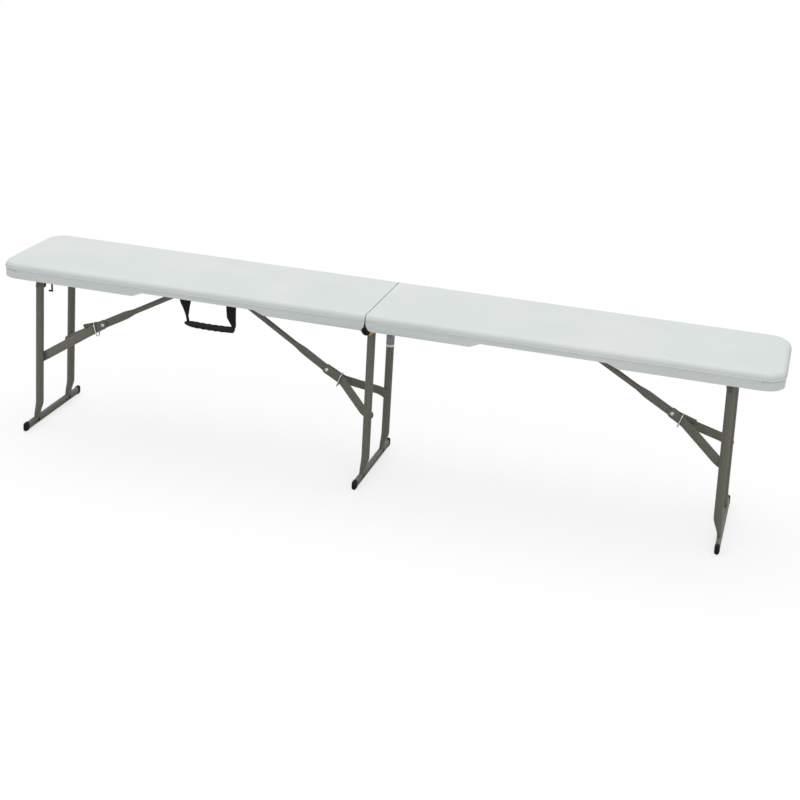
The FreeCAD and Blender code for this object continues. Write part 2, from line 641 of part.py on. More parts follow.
def fold_hinge():
    """The rod, its end caps, the spacer bushes and the four leaves."""
    outer_face = "(leaf_left_y + leaf_thickness / 2)"
    rod_end = f"({outer_face} + rod_overhang)"
    rod = cross_cylinder("rod", "rod_radius", f"-{rod_end}", rod_end, "0", FOLD_Z)
    keep(rod, "fold_rod")
    caps = []
    spacers = []
    upright_face = "(leg_spacing + tube_radius + side_clearance)"
    leaf_face = "(leaf_left_y - leaf_thickness * 1.5 - leaf_gap - side_clearance)"
    for where, row in FRONT_REAR:
        low, high = f"({outer_face} + side_clearance)", f"({outer_face} + rod_cap_length)"
        if row < 0:
            low, high = f"-{high}", f"-{low}"
        caps.append(cross_cylinder(f"cap_{where}", "rod_cap_radius", low, high, "0", FOLD_Z))
        low, high = upright_face, leaf_face
        if row < 0:
            low, high = f"-{high}", f"-{low}"
        tube = cross_cylinder(f"spacer_{where}", "spacer_radius", low, high, "0", FOLD_Z)
        hole = cross_cylinder(f"spacer_hole_{where}", "rod_radius + running_fit", low, high, "0", FOLD_Z)
        spacers.append(cut(f"spacer_tube_{where}", tube, hole))
    keep(cut("rod_caps", group("rod_cap_pair", caps), rod), "rod_end_caps")
    keep(group("spacer_pair", spacers), "rod_spacers")
    for name, side in HALVES.items():
        for where, row in FRONT_REAR:
            hinge_leaf(name, side, where, row)


FOOT_OFFSET = "(flat_thickness + bar_width) / 2"


def foot_reach(leg):
    """The foot bar's middle below the leg's hinge, along the leg."""
    lean = "leg_splay" if leg["tilt"] != "0" else "0"
    return f"(({leg['z']} - bar_middle + {FOOT_OFFSET} * sin({lean})) / cos({lean}))"


def put_on_leg(item, leg):
    """Moves a piece drawn about its hinge to its leg."""
    return place(item, leg["x"], "0", leg["z"], leg["tilt"])


def pressed_tube(body, radius, wall, top, round_end, flat_start, end, width, thickness, along_y):
    """A round tube down from its pivot whose lower end is pressed flat."""
    pad(body, circles(body, "XY_Plane", f"-({round_end})", "0", "0", radius, f"({radius}) - ({wall})"),
        f"({round_end}) + ({top})")
    loft = body.newObject("PartDesign::AdditiveLoft", body.Name + "_loft")
    loft.Profile = round_section(body, f"-({round_end})", radius)
    loft.Sections = [flat_section(body, f"-({flat_start})", width, thickness, along_y)]
    loft.Ruled = True
    flat = flat_section(body, f"-({flat_start})", width, thickness, along_y)
    pad(body, flat, f"({end}) - ({flat_start})", backwards=True)


def upright(name, leg, where, row, fasteners):
    """One leg tube: coped round the cross tube or bored for the rod, and pressed flat at the foot."""
    body = new_body(f"tube_{name}_{where}")
    reach = foot_reach(leg)
    top = "centre_top_reach" if name == "centre" else "0"
    flat_start = f"({reach} - flat_above_bar)"
    pressed_tube(body, "tube_radius", "tube_wall", top, f"({flat_start} - press_length)", flat_start,
                 f"({reach} + flat_below_bar)", "flat_width", "flat_thickness", True)
    radius = "rod_radius + running_fit" if name == "centre" else "tube_radius"
    pocket(body, circles(body, "XZ_Plane", "0", "0", "0", radius), "tube_radius * 3", both_ways=True)
    place(body, f"{leg['x']}", f"{row} * leg_spacing", leg["z"], leg["tilt"])
    keep(cut(f"upright_cut_{name}_{where}", body, fasteners), f"upright_{name}_{where}")


def foot_screw(name, leg, row):
    """A screw through the pressed end of an upright into the foot bar."""
    side = leg["foot"]
    start = f"{-side} * (flat_thickness / 2 + screw_head_height)"
    turn = f"{side * 90}"
    head = place(cylinder(name, "foot_screw_head", "screw_head_height"), start, f"{row} * leg_spacing",
                 f"-{foot_reach(leg)}", turn)
    shank = place(cylinder(name, "foot_screw_radius", "foot_screw_length + screw_head_height"), start,
                  f"{row} * leg_spacing", f"-{foot_reach(leg)}", turn)
    return fuse(name, [head, shank])


def stop_bolt(name, row):
    """A bolt across an end leg's upright, with its head outside and the stop washer inside."""
    low, high = f"{row} * leg_spacing - tube_radius", f"{row} * leg_spacing + tube_radius"
    drop = "-stop_bolt_drop"
    shank = cross_cylinder(name, "stop_bolt_radius", f"{low} - stop_head_height / 2",
                           f"{high} + stop_head_height / 2", "0", drop)
    front_radius, rear_radius = ("stop_head_radius", "stop_washer_radius")
    if row > 0:
        front_radius, rear_radius = rear_radius, front_radius
    front = cross_cylinder(name, front_radius, f"{low} - stop_head_height", low, "0", drop)
    rear = cross_cylinder(name, rear_radius, high, f"{high} + stop_head_height", "0", drop)
    return fuse(name, [shank, front, rear])


def leg_fasteners(name, leg):
    """The foot screws of a leg, with the stop bolts of an end leg."""
    pieces = [foot_screw(f"foot_screw_{name}", leg, row) for where, row in FRONT_REAR]
    if name != "centre":
        pieces += [stop_bolt(f"stop_bolt_{name}", row) for where, row in FRONT_REAR]
    fasteners = put_on_leg(group(f"fasteners_{name}", pieces), leg)
    return keep(fasteners, f"leg_fasteners_{name}")


def foot_bar(name, leg, fasteners):
    """A flat-oval tube across the bench, with a spare hole beside each upright."""
    body = new_body(f"bar_{name}")
    low = f"-{foot_reach(leg)}"
    outer = flat_section(body, "0", "bar_height", "bar_width", True, "XZ_Plane")
    pad(body, outer, "bar_half * 2", both_ways=True)
    inner = flat_section(body, "0", "bar_height - bar_wall * 2", "bar_width - bar_wall * 2", True, "XZ_Plane")
    pocket(body, inner, "bar_half * 2 + overrun", both_ways=True)
    for where, row in FRONT_REAR:
        hole_y = f"{row} * leg_spacing - bar_hole_offset"
        hole = circles(body, "YZ_Plane", "0", hole_y, "0", "bar_hole_radius")
        pocket(body, hole, "bar_width", backwards=leg["foot"] < 0)
    shifted = place_in_leg(body, leg, f"{leg['foot']} * {FOOT_OFFSET}", low)
    keep(cut(f"bar_cut_{name}", shifted, fasteners), f"foot_bar_{name}")


def place_in_leg(item, leg, x, z):
    """Places a piece at a point of the leg's own plane, leaning with the leg."""
    tilt = leg["tilt"]
    return place(item, f"{leg['x']} + ({x}) * cos({tilt}) + ({z}) * sin({tilt})", "0",
                 f"{leg['z']} - ({x}) * sin({tilt}) + ({z}) * cos({tilt})", tilt)


def foot_cap(name, where, row, leg):
    """A plastic cap beyond the bar's end, with a plug inside the bar."""
    body = new_body(f"cap_{name}_{where}")
    side = f"{-row}"
    outer = flat_section(body, f"{side} * bar_half", "cap_height", "cap_width", True, "XZ_Plane")
    pad(body, outer, "cap_length", backwards=row > 0)
    end_y = row * number("bar_half + cap_length")
    fillet(body, "cap_rounding", lambda edge: near(edge.BoundBox.YMin, end_y)
           and near(edge.BoundBox.YMax, end_y))
    shrink = "(bar_wall + plug_gap) * 2"
    plug = flat_section(body, f"{side} * (bar_half - plug_length)", f"bar_height - {shrink}",
                        f"bar_width - {shrink}", True, "XZ_Plane")
    pad(body, plug, "plug_length", backwards=row > 0)
    return place_in_leg(body, leg, f"{leg['foot']} * {FOOT_OFFSET}", f"-{foot_reach(leg)}")


def foot_caps(name, leg):
    """Both caps of a leg, with a narrow flat where they stand on the floor."""
    caps = group(f"caps_{name}", [foot_cap(name, where, row, leg) for where, row in FRONT_REAR])
    floor = box(f"floor_{name}", ("-half_length", "-seat_width", "-bar_height"),
                ("half_length", "seat_width", "0"))
    keep(cut(f"caps_cut_{name}", caps, floor), f"foot_caps_{name}")


def cross_tube(name, leg):
    """The hinge tube that joins the uprights of an end leg."""
    half = "cross_tube_half"
    outer = cross_cylinder(f"cross_{name}", "tube_radius", f"-{half}", half, leg["x"], leg["z"])
    inner = cross_cylinder(f"cross_bore_{name}", "tube_radius - tube_wall", f"-{half}", half, leg["x"],
                           leg["z"])
    keep(cut(f"cross_cut_{name}", outer, inner), f"cross_tube_{name}")


def saddle(name, leg, where, row):
    """A saddle block that holds the cross tube against the underside."""
    body = new_body(f"saddle_{name}_{where}")
    top = f"{SLAB_Z} - {LEG_HINGE_Z}"
    low = "-(tube_radius + running_fit + saddle_wall)"
    base = f"{top} - saddle_base_thickness"
    right = [("saddle_half_base", top), ("saddle_half_base", base), ("saddle_half_body", base),
             ("saddle_half_body", f"{low} + saddle_chamfer"), ("saddle_half_body - saddle_chamfer", low)]
    left = [(f"-({x})", z) for x, z in reversed(right)]
    pad(body, outline(body, "XZ_Plane", f"{-row} * saddle_y", right + left), "saddle_width", both_ways=True)
    bore = circles(body, "XZ_Plane", f"{-row} * saddle_y", "0", "0", "tube_radius + running_fit")
    pocket(body, bore, "saddle_width + overrun", both_ways=True)
    return place(body, leg["x"], "0", leg["z"])


def saddles(name, leg):
    """Both saddles of an end leg."""
    pair = group(f"saddle_pair_{name}", [saddle(name, leg, where, row) for where, row in FRONT_REAR])
    keep(cut(f"saddle_cut_{name}", pair, parts[f"seat_screws_{name}"]), f"hinge_saddles_{name}")


def label_wrap():
    """A plain label round the rear centre upright."""
    outer = cylinder("label_outer", "tube_radius + running_fit + label_thickness", "label_height")
    inner = cylinder("label_inner", "tube_radius + running_fit", "label_height")
    for item in (outer, inner):
        place(item, "0", "leg_spacing", "label_bottom")
    keep(cut("label", outer, inner), "blank_label")


def leg_frame(name, leg):
    """All the pieces of one leg."""
    fasteners = leg_fasteners(name, leg)
    for where, row in FRONT_REAR:
        upright(name, leg, where, row, fasteners)
    foot_bar(name, leg, fasteners)
    foot_caps(name, leg)
    if name == "centre":
        label_wrap()
    else:
        cross_tube(name, leg)
        saddles(name, leg)




def arm_end(name):
    """Where a brace's arms meet the uprights."""
    leg = LEGS[name]
    return (f"({leg['x']} - arm_drop_{name} * sin({leg['tilt']}))",
            f"({leg['z']} - arm_drop_{name} * cos({leg['tilt']}))")


def pivot_x(name):
    """Where a brace turns under the seat."""
    return f"({LEGS[name]['x']} + {BRACE_SIDE[name]} * pivot_reach_{name})"


def knee_place(name):
    """Where a brace's tube and arms meet."""
    leg = LEGS[name]
    return f"({leg['x']} + {BRACE_SIDE[name]} * knee_reach_{name})", f"({leg['z']} - knee_drop_{name})"


def lengths_and_turns(name):
    """Length and turn of a brace's tube, from pivot to knee, and of its arms, from knee to upright."""
    pivot = (pivot_x(name), PIVOT_Z)
    knee = knee_place(name)
    found = []
    for start, stop in ((pivot, knee), (knee, arm_end(name))):
        dx = f"({stop[0]} - {start[0]})"
        dz = f"({stop[1]} - {start[1]})"
        found.append((f"sqrt({dx} ^ 2 + {dz} ^ 2)", f"atan2(-{dx}; -{dz})"))
    return found


def brace_tube(name):
    """The brace tube, bored for its pin and its knee rivet, with a pressed flat lower part."""
    (reach, turn), _ = lengths_and_turns(name)
    body = new_body(f"brace_{name}")
    flat_start = f"({reach} - brace_flat_above)"
    pressed_tube(body, "brace_radius", "tube_wall", "brace_top_reach", f"({flat_start} - brace_press_length)",
                 flat_start, f"({reach} + brace_tail)", "brace_flat_width", "brace_flat_thickness", False)
    pocket(body, tail_corner(body, reach, 1), "brace_flat_thickness * 2", both_ways=True)
    pocket(body, tail_corner(body, reach, -1), "brace_flat_thickness * 2", both_ways=True)
    for z, radius in (("0", "pin_radius + running_fit"), (f"-{reach}", "knee_rivet_radius + running_fit")):
        pocket(body, circles(body, "XZ_Plane", "0", "0", z, radius), "brace_radius * 3", both_ways=True)
    place(body, pivot_x(name), "0", PIVOT_Z, turn)
    keep(body, f"brace_tube_{name}")


def tail_corner(body, reach, side):
    """The waste outside a rounded corner of the brace's tail."""
    end = f"-({reach} + brace_tail)"
    edge = f"{side} * brace_flat_width / 2"
    inner = f"{side} * (brace_flat_width / 2 - brace_tail_rounding)"
    beyond = f"{side} * (brace_flat_width / 2 + overrun)"
    points = [(edge, f"{end} + brace_tail_rounding"), (inner, end), (inner, f"{end} - overrun"),
              (beyond, f"{end} - overrun"), (beyond, f"{end} + brace_tail_rounding")]
    return outline(body, "XZ_Plane", "0", points, {0: ("brace_tail_rounding", -side)})


def brace_arm(name, where, row, rivets):
    """A flat strap: beside the tube at the knee, then bent out to its upright."""
    _, (reach, turn) = lengths_and_turns(name)
    body = new_body(f"arm_{name}_{where}")
    near_y = "(brace_flat_thickness / 2 + arm_gap)"
    far_y = "(leg_spacing - tube_radius - side_clearance - arm_thickness)"
    stations = [("arm_end_reach", near_y), (f"-arm_parallel_{name}", near_y),
                (f"-({reach} - arm_pad)", far_y), (f"-({reach} + arm_width / 2)", far_y)]
    inner = [(f"{row} * {y}", z) for z, y in stations]
    outer = [(f"{row} * ({y} + arm_thickness)", z) for z, y in reversed(stations)]
    pad(body, outline(body, "YZ_Plane", "0", inner + outer), "arm_width", both_ways=True)
    top = number("arm_end_reach")
    low = -number(f"{reach} + arm_width / 2")
    across = VECTOR(0, 1, 0)
    fillet(body, "arm_width / 2 - arm_end_flat", lambda edge: runs_along(edge, across)
           and (near(edge.BoundBox.ZMin, top) or near(edge.BoundBox.ZMin, low)))
    knee_x, knee_z = knee_place(name)
    place(body, knee_x, "0", knee_z, turn)
    keep(cut(f"arm_cut_{name}_{where}", body, rivets), f"brace_arm_{name}_{where}")


def brace_rivets(name):
    """The knee rivet and the two rivets at the arms' ends."""
    _, (reach, turn) = lengths_and_turns(name)
    face = "(brace_flat_thickness / 2 + arm_gap + arm_thickness)"
    shank = cross_cylinder(f"knee_shank_{name}", "knee_rivet_radius", f"-{face} - rivet_head_height / 2",
                           f"{face} + rivet_head_height / 2", "0", "0")
    heads = [cross_cylinder(f"knee_head_{name}", "knee_head_radius",
                            *cross_range(row, face, f"{face} + rivet_head_height"), "0", "0")
             for where, row in FRONT_REAR]
    pieces = [fuse(f"knee_rivet_{name}", [shank] + heads)]
    outside = "(leg_spacing - tube_radius - side_clearance)"
    inside = f"({outside} - arm_thickness)"
    for where, row in FRONT_REAR:
        tip = cross_range(row, f"{inside} - rivet_head_height / 2", outside)
        head = cross_range(row, f"{inside} - rivet_head_height", inside)
        low = f"-{reach}"
        pieces.append(fuse(f"arm_rivet_{name}_{where}", [
            cross_cylinder(f"arm_shank_{name}", "arm_rivet_radius", *tip, "0", low),
            cross_cylinder(f"arm_head_{name}", "arm_head_radius", *head, "0", low)]))
    rivets = group(f"rivets_{name}", pieces)
    knee_x, knee_z = knee_place(name)
    place(rivets, knee_x, "0", knee_z, turn)
    return keep(rivets, f"brace_rivets_{name}")


def cross_range(row, inner, outer):
    """Two distances from the middle as a low and a high Y on one side of it."""
    if row > 0:
        return inner, outer
    return f"-({outer})", f"-({inner})"


def lock_ring(name):
    """The wire loop round the tube's tail and both arms."""
    (reach, turn), _ = lengths_and_turns(name)
    bend = "(ring_half_width + ring_wire_radius)"
    straight = f"(ring_half_height_{name} - ring_half_width)"
    pieces = []
    for end in (-1, 1):
        arc = doc.addObject("Part::Torus", f"ring_arc_{name}")
        bind(arc, Radius1=bend, Radius2="ring_wire_radius", Angle3="180")
        pieces.append(place(arc, f"{end} * {straight}", "0", "0", f"{-end * 90}", "0; 0; 1"))
        side = cylinder(f"ring_side_{name}", "ring_wire_radius", f"{straight} * 2")
        pieces.append(place(side, f"-{straight}", f"{end} * {bend}", "0", "90"))
    ring = fuse(f"ring_{name}", pieces)
    down = BRACE_SIDE[name]
    along = f"({reach} + ring_rest_{name})"
    drop = f"{down} * ring_drop_{name}"
    place(ring, f"{pivot_x(name)} + ({drop}) * cos({turn}) - {along} * sin({turn})", "0",
          f"{PIVOT_Z} - ({drop}) * sin({turn}) - {along} * cos({turn})",
          f"{turn} + {down} * ring_tilt * 1 deg")
    keep(ring, f"lock_ring_{name}")


def bracket_angle(name, where, row):
    """One bent angle: a flange under the slab and an ear beside the brace tube."""
    body = new_body(f"angle_{name}_{where}")
    top = f"({SLAB_Z} - {PIVOT_Z})"
    under = f"({top} - bracket_thickness)"
    inner = "(brace_radius + bracket_play)"
    outer = f"({inner} + bracket_ear)"
    flange = [(f"{row} * bracket_half_base", top), (f"{row} * bracket_half_base", under),
              (f"{row} * {inner}", under), (f"{row} * {inner}", top)]
    pad(body, outline(body, "YZ_Plane", "0", flange), "bracket_length", both_ways=True)
    ear = [(f"{row} * {inner}", top), (f"{row} * {inner}", "-bracket_ear_drop"),
           (f"{row} * {outer}", "-bracket_ear_drop"), (f"{row} * {outer}", top)]
    pad(body, outline(body, "YZ_Plane", "0", ear), "bracket_ear_length", both_ways=True)
    low = -number("bracket_ear_drop")
    fillet(body, "bracket_ear_drop - ear_flat", lambda edge: runs_along(edge, VECTOR(0, 1, 0))
           and near(edge.BoundBox.ZMax, low))
    bore = circles(body, "XZ_Plane", "0", "0", "0", "pin_radius")
    pocket(body, bore, "bracket_half_base * 2", both_ways=True)
    return place(body, pivot_x(name), "0", PIVOT_Z)


def brace_bracket(name):
    """The two angles that carry a brace tube, and the pin through them."""
    angles = group(f"angles_{name}", [bracket_angle(name, where, row) for where, row in FRONT_REAR])
    half = "left" if name != "right" else "right"
    keep(cut(f"bracket_cut_{name}", angles, parts[f"seat_screws_{half}"]), f"brace_bracket_{name}")
    outer = "(brace_radius + bracket_play + bracket_ear)"
    shank = cross_cylinder(f"pin_shank_{name}", "pin_radius", f"-{outer}", outer, "0", "0")
    heads = [cross_cylinder(f"pin_head_{name}", "pin_head_radius", *cross_range(row, outer,
                            f"{outer} + pin_head_height"), "0", "0") for where, row in FRONT_REAR]
    pin = fuse(f"pin_{name}", [shank] + heads)
    keep(place(pin, pivot_x(name), "0", PIVOT_Z), f"brace_pin_{name}")


def brace(name):
    """All the pieces of one brace."""
    brace_tube(name)
    rivets = brace_rivets(name)
    for where, row in FRONT_REAR:
        brace_arm(name, where, row, rivets)
    lock_ring(name)
    brace_bracket(name)


BEND_Z = "(seat_height - shallow_skirt - strap_gap - strap_thickness / 2)"
BEND_Y = f"-({RIM_INSIDE} + strap_thickness / 2)"


def handle_strap(name):
    """Webbing that hangs from the rim's edge and narrows to the grip, and the end sewn inside the rim."""
    body = new_body(f"strap_{name}")
    top = f"{BEND_Z} + strap_above_axis"
    low = f"{BEND_Z} - grip_drop + grip_height / 2"
    middle = f"strap_{name}_x"
    grip_end = f"{HALVES[name]} * grip_half_length * strap_low_share"
    lower = f"({middle} + grip_middle_x + {grip_end}) / 2"
    points = [(f"{middle} - strap_width / 2", top), (f"{lower} - strap_low_width / 2", low),
              (f"{lower} + strap_low_width / 2", low), (f"{middle} + strap_width / 2", top)]
    pad(body, outline(body, "XZ_Plane", f"-({BEND_Y})", points), "strap_thickness", both_ways=True)
    keep(body, f"handle_strap_{name}")


def strap_roots():
    """The ends of the webbing, flat against the inside of the rim."""
    rim_z = "seat_height - shallow_skirt"
    pieces = []
    for name in HALVES:
        low = (f"strap_{name}_x - strap_width / 2", f"-{RIM_INSIDE}", f"{rim_z} + strap_gap")
        high = (f"strap_{name}_x + strap_width / 2", f"-{RIM_INSIDE} + strap_thickness",
                f"{rim_z} + strap_gap + root_height")
        pieces.append(box(f"root_{name}", low, high))
    keep(group("roots", pieces), "handle_strap_roots")


def handle_grip():
    """A bowed grip with ribs round it."""
    body = new_body("grip")
    middle_z = f"({BEND_Z} - grip_drop)"
    half = "grip_half_length"
    radius = f"(({half} ^ 2 + grip_sag ^ 2) / (2 * grip_sag))"
    points = [(f"grip_middle_x - {half}", f"{middle_z} - grip_height / 2 + grip_sag"),
              (f"grip_middle_x + {half}", f"{middle_z} - grip_height / 2 + grip_sag"),
              (f"grip_middle_x + {half}", f"{middle_z} + grip_height / 2 + grip_sag"),
              (f"grip_middle_x - {half}", f"{middle_z} + grip_height / 2 + grip_sag")]
    sketch = outline(body, "XZ_Plane", f"-({BEND_Y})", points, {0: (radius, 1), 2: (radius, -1)})
    pad(body, sketch, "grip_depth", both_ways=True)
    fillet(body, "grip_rounding", lambda edge: edge.Curve.TypeId == "Part::GeomCircle")
    pieces = [body]
    for index in range(int(number("rib_count"))):
        shift = f"({index} - (rib_count - 1) / 2) * rib_pitch"
        drop = f"grip_sag * ({shift}) ^ 2 / {half} ^ 2"
        rib = new_body("rib")
        reach = "(grip_height / 2 + rib_height)"
        deep = "(grip_depth / 2 + rib_height)"
        points = [(f"-{deep}", f"-{reach}"), (deep, f"-{reach}"), (deep, reach), (f"-{deep}", reach)]
        pad(rib, outline(rib, "YZ_Plane", "0", points), "rib_width", both_ways=True)
        fillet(rib, "grip_rounding", lambda edge: runs_along(edge, VECTOR(1, 0, 0)))
        place(rib, f"grip_middle_x + {shift}", BEND_Y, f"{middle_z} + {drop}")
        pieces.append(rib)
    grip = fuse("ribbed_grip", pieces)
    straps = group("grip_straps", [parts["handle_strap_left"], parts["handle_strap_right"]])
    keep(cut("grip_cut", grip, straps), "handle_grip")


def hook_face():
    """The middle plane of the hook, just inside the left rim."""
    return f"(-{RIM_INSIDE} + strap_gap + hook_thickness / 2)"


def peg_place():
    """Where the peg is on the right half, so that the turned hook holds it when the bench is shut."""
    x = "(-(hook_width / 2 + hook_tip / 2))"
    z = "(-(hook_length - hook_width - peg_radius - peg_gap))"
    folded_x = f"({HOOK_X} + {x} * cos(hook_swing) + {z} * sin(hook_swing))"
    folded_z = f"({HOOK_Z} - {x} * sin(hook_swing) + {z} * cos(hook_swing))"
    return f"-{folded_x}", f"(2 * {FOLD_Z} - {folded_z})"


def closing_hook():
    """A flat hook that hangs from a screw inside the left rim, its screw, and its peg on the right half."""
    body = new_body("hook")
    offset = f"-{hook_face()}"
    eye = circles(body, "XZ_Plane", offset, "0", "0", "hook_eye_radius")
    pad(body, eye, "hook_thickness", both_ways=True)
    half = "(hook_width / 2)"
    points = [(f"-{half}", "0"), (f"-{half}", "-(hook_length - hook_width)"),
              (f"-{half} - hook_tip", "-(hook_length - hook_width)"), (f"-{half} - hook_tip", "-hook_length"),
              (half, "-hook_length"), (half, "0")]
    pad(body, outline(body, "XZ_Plane", offset, points), "hook_thickness", both_ways=True)
    hole = circles(body, "XZ_Plane", offset, "0", "0", "hook_screw_radius + running_fit")
    pocket(body, hole, "hook_thickness * 3", both_ways=True)
    keep(place(body, HOOK_X, "0", HOOK_Z), "closing_hook")
    inner = f"({hook_face()} + hook_thickness / 2 + strap_gap)"
    shank = cross_cylinder("hook_shank", "hook_screw_radius", f"-{RIM_INSIDE} - hook_screw_depth", inner,
                           HOOK_X, HOOK_Z)
    head = cross_cylinder("hook_head", "hook_head_radius", inner, f"{inner} + screw_head_height",
                          HOOK_X, HOOK_Z)
    keep(fuse("hook_pivot", [shank, head]), "hook_screw")
    peg = cross_cylinder("peg", "peg_radius", f"-{RIM_INSIDE} - peg_length",
                         f"{hook_face()} + hook_thickness / 2", *peg_place())
    keep(peg, "hook_peg")


def check_and_export():
    """Stops on any failed object, then writes each sub-part to its own file."""
    doc.recompute()
    for item in doc.Objects:
        if "Invalid" in item.State or "Error" in item.State:
            raise RuntimeError(f"{item.Name} failed: {item.State}")
    for node, item in parts.items():
        if item.Shape.isNull() or not item.Shape.isValid():
            raise RuntimeError(f"{node} has no valid shape")
    os.makedirs("parts", exist_ok=True)
    for node, item in parts.items():
        item.Shape.exportStep(f"parts/{node}.step")
        print(f"{node}: {len(item.Shape.Solids)} solids, {item.Shape.Volume:.0f} mm3")


for half_name, half_side in HALVES.items():
    seat_half(half_name, half_side)
fold_hinge()
for leg_name, leg_frame_sizes in LEGS.items():
    leg_frame(leg_name, leg_frame_sizes)
    brace(leg_name)
for strap_name in HALVES:
    handle_strap(strap_name)
strap_roots()
handle_grip()
closing_hook()
check_and_export()
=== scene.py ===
"""Looks of a fold-in-half bench: a pale moulded seat on three folding steel legs with ring-locked braces.

Sizes in this file are in millimetres, in the frame of the solids: X along the bench, Y across it, Z up.
They become metres where a mesh is made.
"""

import json
import logging
import math
from dataclasses import dataclass
from enum import Enum
from typing import Callable, Sequence

import bmesh
import bpy
import numpy as np
from mathutils import Matrix


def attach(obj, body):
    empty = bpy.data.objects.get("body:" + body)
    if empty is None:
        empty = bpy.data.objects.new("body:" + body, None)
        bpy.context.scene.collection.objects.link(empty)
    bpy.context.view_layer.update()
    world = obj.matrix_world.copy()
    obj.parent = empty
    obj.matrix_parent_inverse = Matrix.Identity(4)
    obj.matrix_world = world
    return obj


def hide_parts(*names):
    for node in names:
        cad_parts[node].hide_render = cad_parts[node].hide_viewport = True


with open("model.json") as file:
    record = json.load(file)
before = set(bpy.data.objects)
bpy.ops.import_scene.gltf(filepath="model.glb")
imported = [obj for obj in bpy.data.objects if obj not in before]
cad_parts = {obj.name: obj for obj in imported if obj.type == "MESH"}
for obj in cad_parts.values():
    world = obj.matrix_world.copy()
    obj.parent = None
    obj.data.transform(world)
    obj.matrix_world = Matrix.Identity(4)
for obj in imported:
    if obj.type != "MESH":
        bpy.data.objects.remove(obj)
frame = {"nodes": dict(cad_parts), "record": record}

Array = np.ndarray
Socket = bpy.types.NodeSocket
LOG = logging.getLogger("folding_bench")
METRE = 0.001
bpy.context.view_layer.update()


class Slot(Enum):
    """The record's material slots."""

    SEAT = "seat_plastic"
    PAINT = "frame_paint"
    ZINC = "yellow_zinc"
    STEEL = "bright_steel"
    DARK = "dark_steel"
    CHROME = "ring_chrome"
    BLACK = "black_plastic"
    WEBBING = "black_webbing"
    FILM = "label_vinyl"


class Side(Enum):
    """The near or far side of the bench, as the sign of Y."""

    FRONT = -1
    REAR = 1

    @property
    def word(self) -> str:
        """The side's name in node names."""
        return self.name.lower()


# Shapes.


@dataclass(frozen=True)
class Skin:
    """One closed or open surface.

    Args:
        points: Vertices, one row each.
        faces: Vertex numbers of each face, turned so that it faces outward.
        flat: Optional pattern coordinates, one row for each vertex.
    """

    points: Array
    faces: list[tuple[int, ...]]
    flat: Array | None = None


def grid_quads(rows: int, columns: int, ring: bool, loop: bool = False) -> Array:
    """Numbers the four corners of every cell of a grid.

    Cell (r, c) joins points r*columns + c, its neighbour in the row, and the same two of the next row.

    Args:
        rows: Points down the grid.
        columns: Points across it.
        ring: Whether the last column joins the first.
        loop: Whether the last row joins the first.

    Returns:
        An array of quads.
    """
    down = np.arange(rows if loop else rows - 1)[:, None]
    across = np.arange(columns if ring else columns - 1)[None, :]
    beside = (across + 1) % columns
    below = (down + 1) % rows
    cells = np.broadcast_arrays(down * columns + across, down * columns + beside,
                                below * columns + beside, below * columns + across)
    return np.stack(cells, axis=-1).reshape(-1, 4)


def turned_outward(points: Array, faces: list[tuple[int, ...]]) -> list[tuple[int, ...]]:
    """Turns a closed surface's faces outward.

    The sum over fan triangles of a . (b x c) is six times the enclosed volume, negative when faces look
    inward.

    Args:
        points: Vertices.
        faces: Faces that all turn the same way.

    Returns:
        The same faces, reversed where the volume came out negative.
    """
    fans = np.array([(face[0], face[k], face[k + 1]) for face in faces for k in range(1, len(face) - 1)])
    corners = points[fans] - points.mean(axis=0)
    volume = np.einsum("ij,ij->", corners[:, 0], np.cross(corners[:, 1], corners[:, 2]))
    return [face[::-1] for face in faces] if volume < 0 else faces


def closed_skin(rings: Array, loop: bool = False) -> Skin:
    """Joins rings of points into a closed surface.

    Args:
        rings: Points as (ring, point of the ring, xyz).
        loop: Whether the last ring joins the first; otherwise each end gets a flat face.

    Returns:
        The closed surface.
    """
    rows, columns = rings.shape[:2]
    faces = [tuple(quad) for quad in grid_quads(rows, columns, True, loop).tolist()]
    if not loop:
        faces.append(tuple(range(columns - 1, -1, -1)))
        faces.append(tuple(range((rows - 1) * columns, rows * columns)))
    points = rings.reshape(-1, 3)
    return Skin(points, turned_outward(points, faces))


def corner_turns(count: int) -> Array:
    """Angles of a ring's points, half a step off the axes so that each corner gets a quarter of them."""
    return (np.arange(count) + 0.5) * 2 * math.pi / count


def boxy_rings(half_u: Array, half_v: Array, corner: Array, count: int = 32) -> Array:
    """Rounded rectangles, one for each station along a path.

    A point at angle a lies at (half - corner) * sign + corner * (cos a, sin a), so equal halves and corner
    give a circle and a corner as large as one half gives a slot.

    Args:
        half_u: Half size along the first axis at each station.
        half_v: Half size along the second axis.
        corner: Corner radius, at most the smaller half.
        count: Points in a ring, a multiple of four.

    Returns:
        Section points as (station, point, 2).
    """
    turns = corner_turns(count)
    spread = np.broadcast_arrays(half_u, half_v, corner)
    half_u, half_v, corner = (np.asarray(item, float)[:, None] for item in spread)
    corner = np.minimum(corner, np.minimum(half_u, half_v))
    first = (half_u - corner) * np.sign(np.cos(turns)) + corner * np.cos(turns)
    second = (half_v - corner) * np.sign(np.sin(turns)) + corner * np.sin(turns)
    return np.stack([first, second], axis=-1)


def carried(path: Array, across: Array, sections: Array) -> Skin:
    """Carries sections along a flat path that stays open.

    Each section's first axis is the fixed direction across the path's plane and its second is the path's
    own direction turned by a right angle in that plane.

    Args:
        path: Points of the path.
        across: Unit vector square to the path's plane.
        sections: Section points as (station, point, 2).

    Returns:
        The closed surface.
    """
    ahead = np.gradient(path, axis=0)
    ahead /= np.linalg.norm(ahead, axis=1)[:, None]
    beside = np.cross(across, ahead)
    return closed_skin(path[:, None, :] + sections[..., :1] * across + sections[..., 1:] * beside[:, None, :])


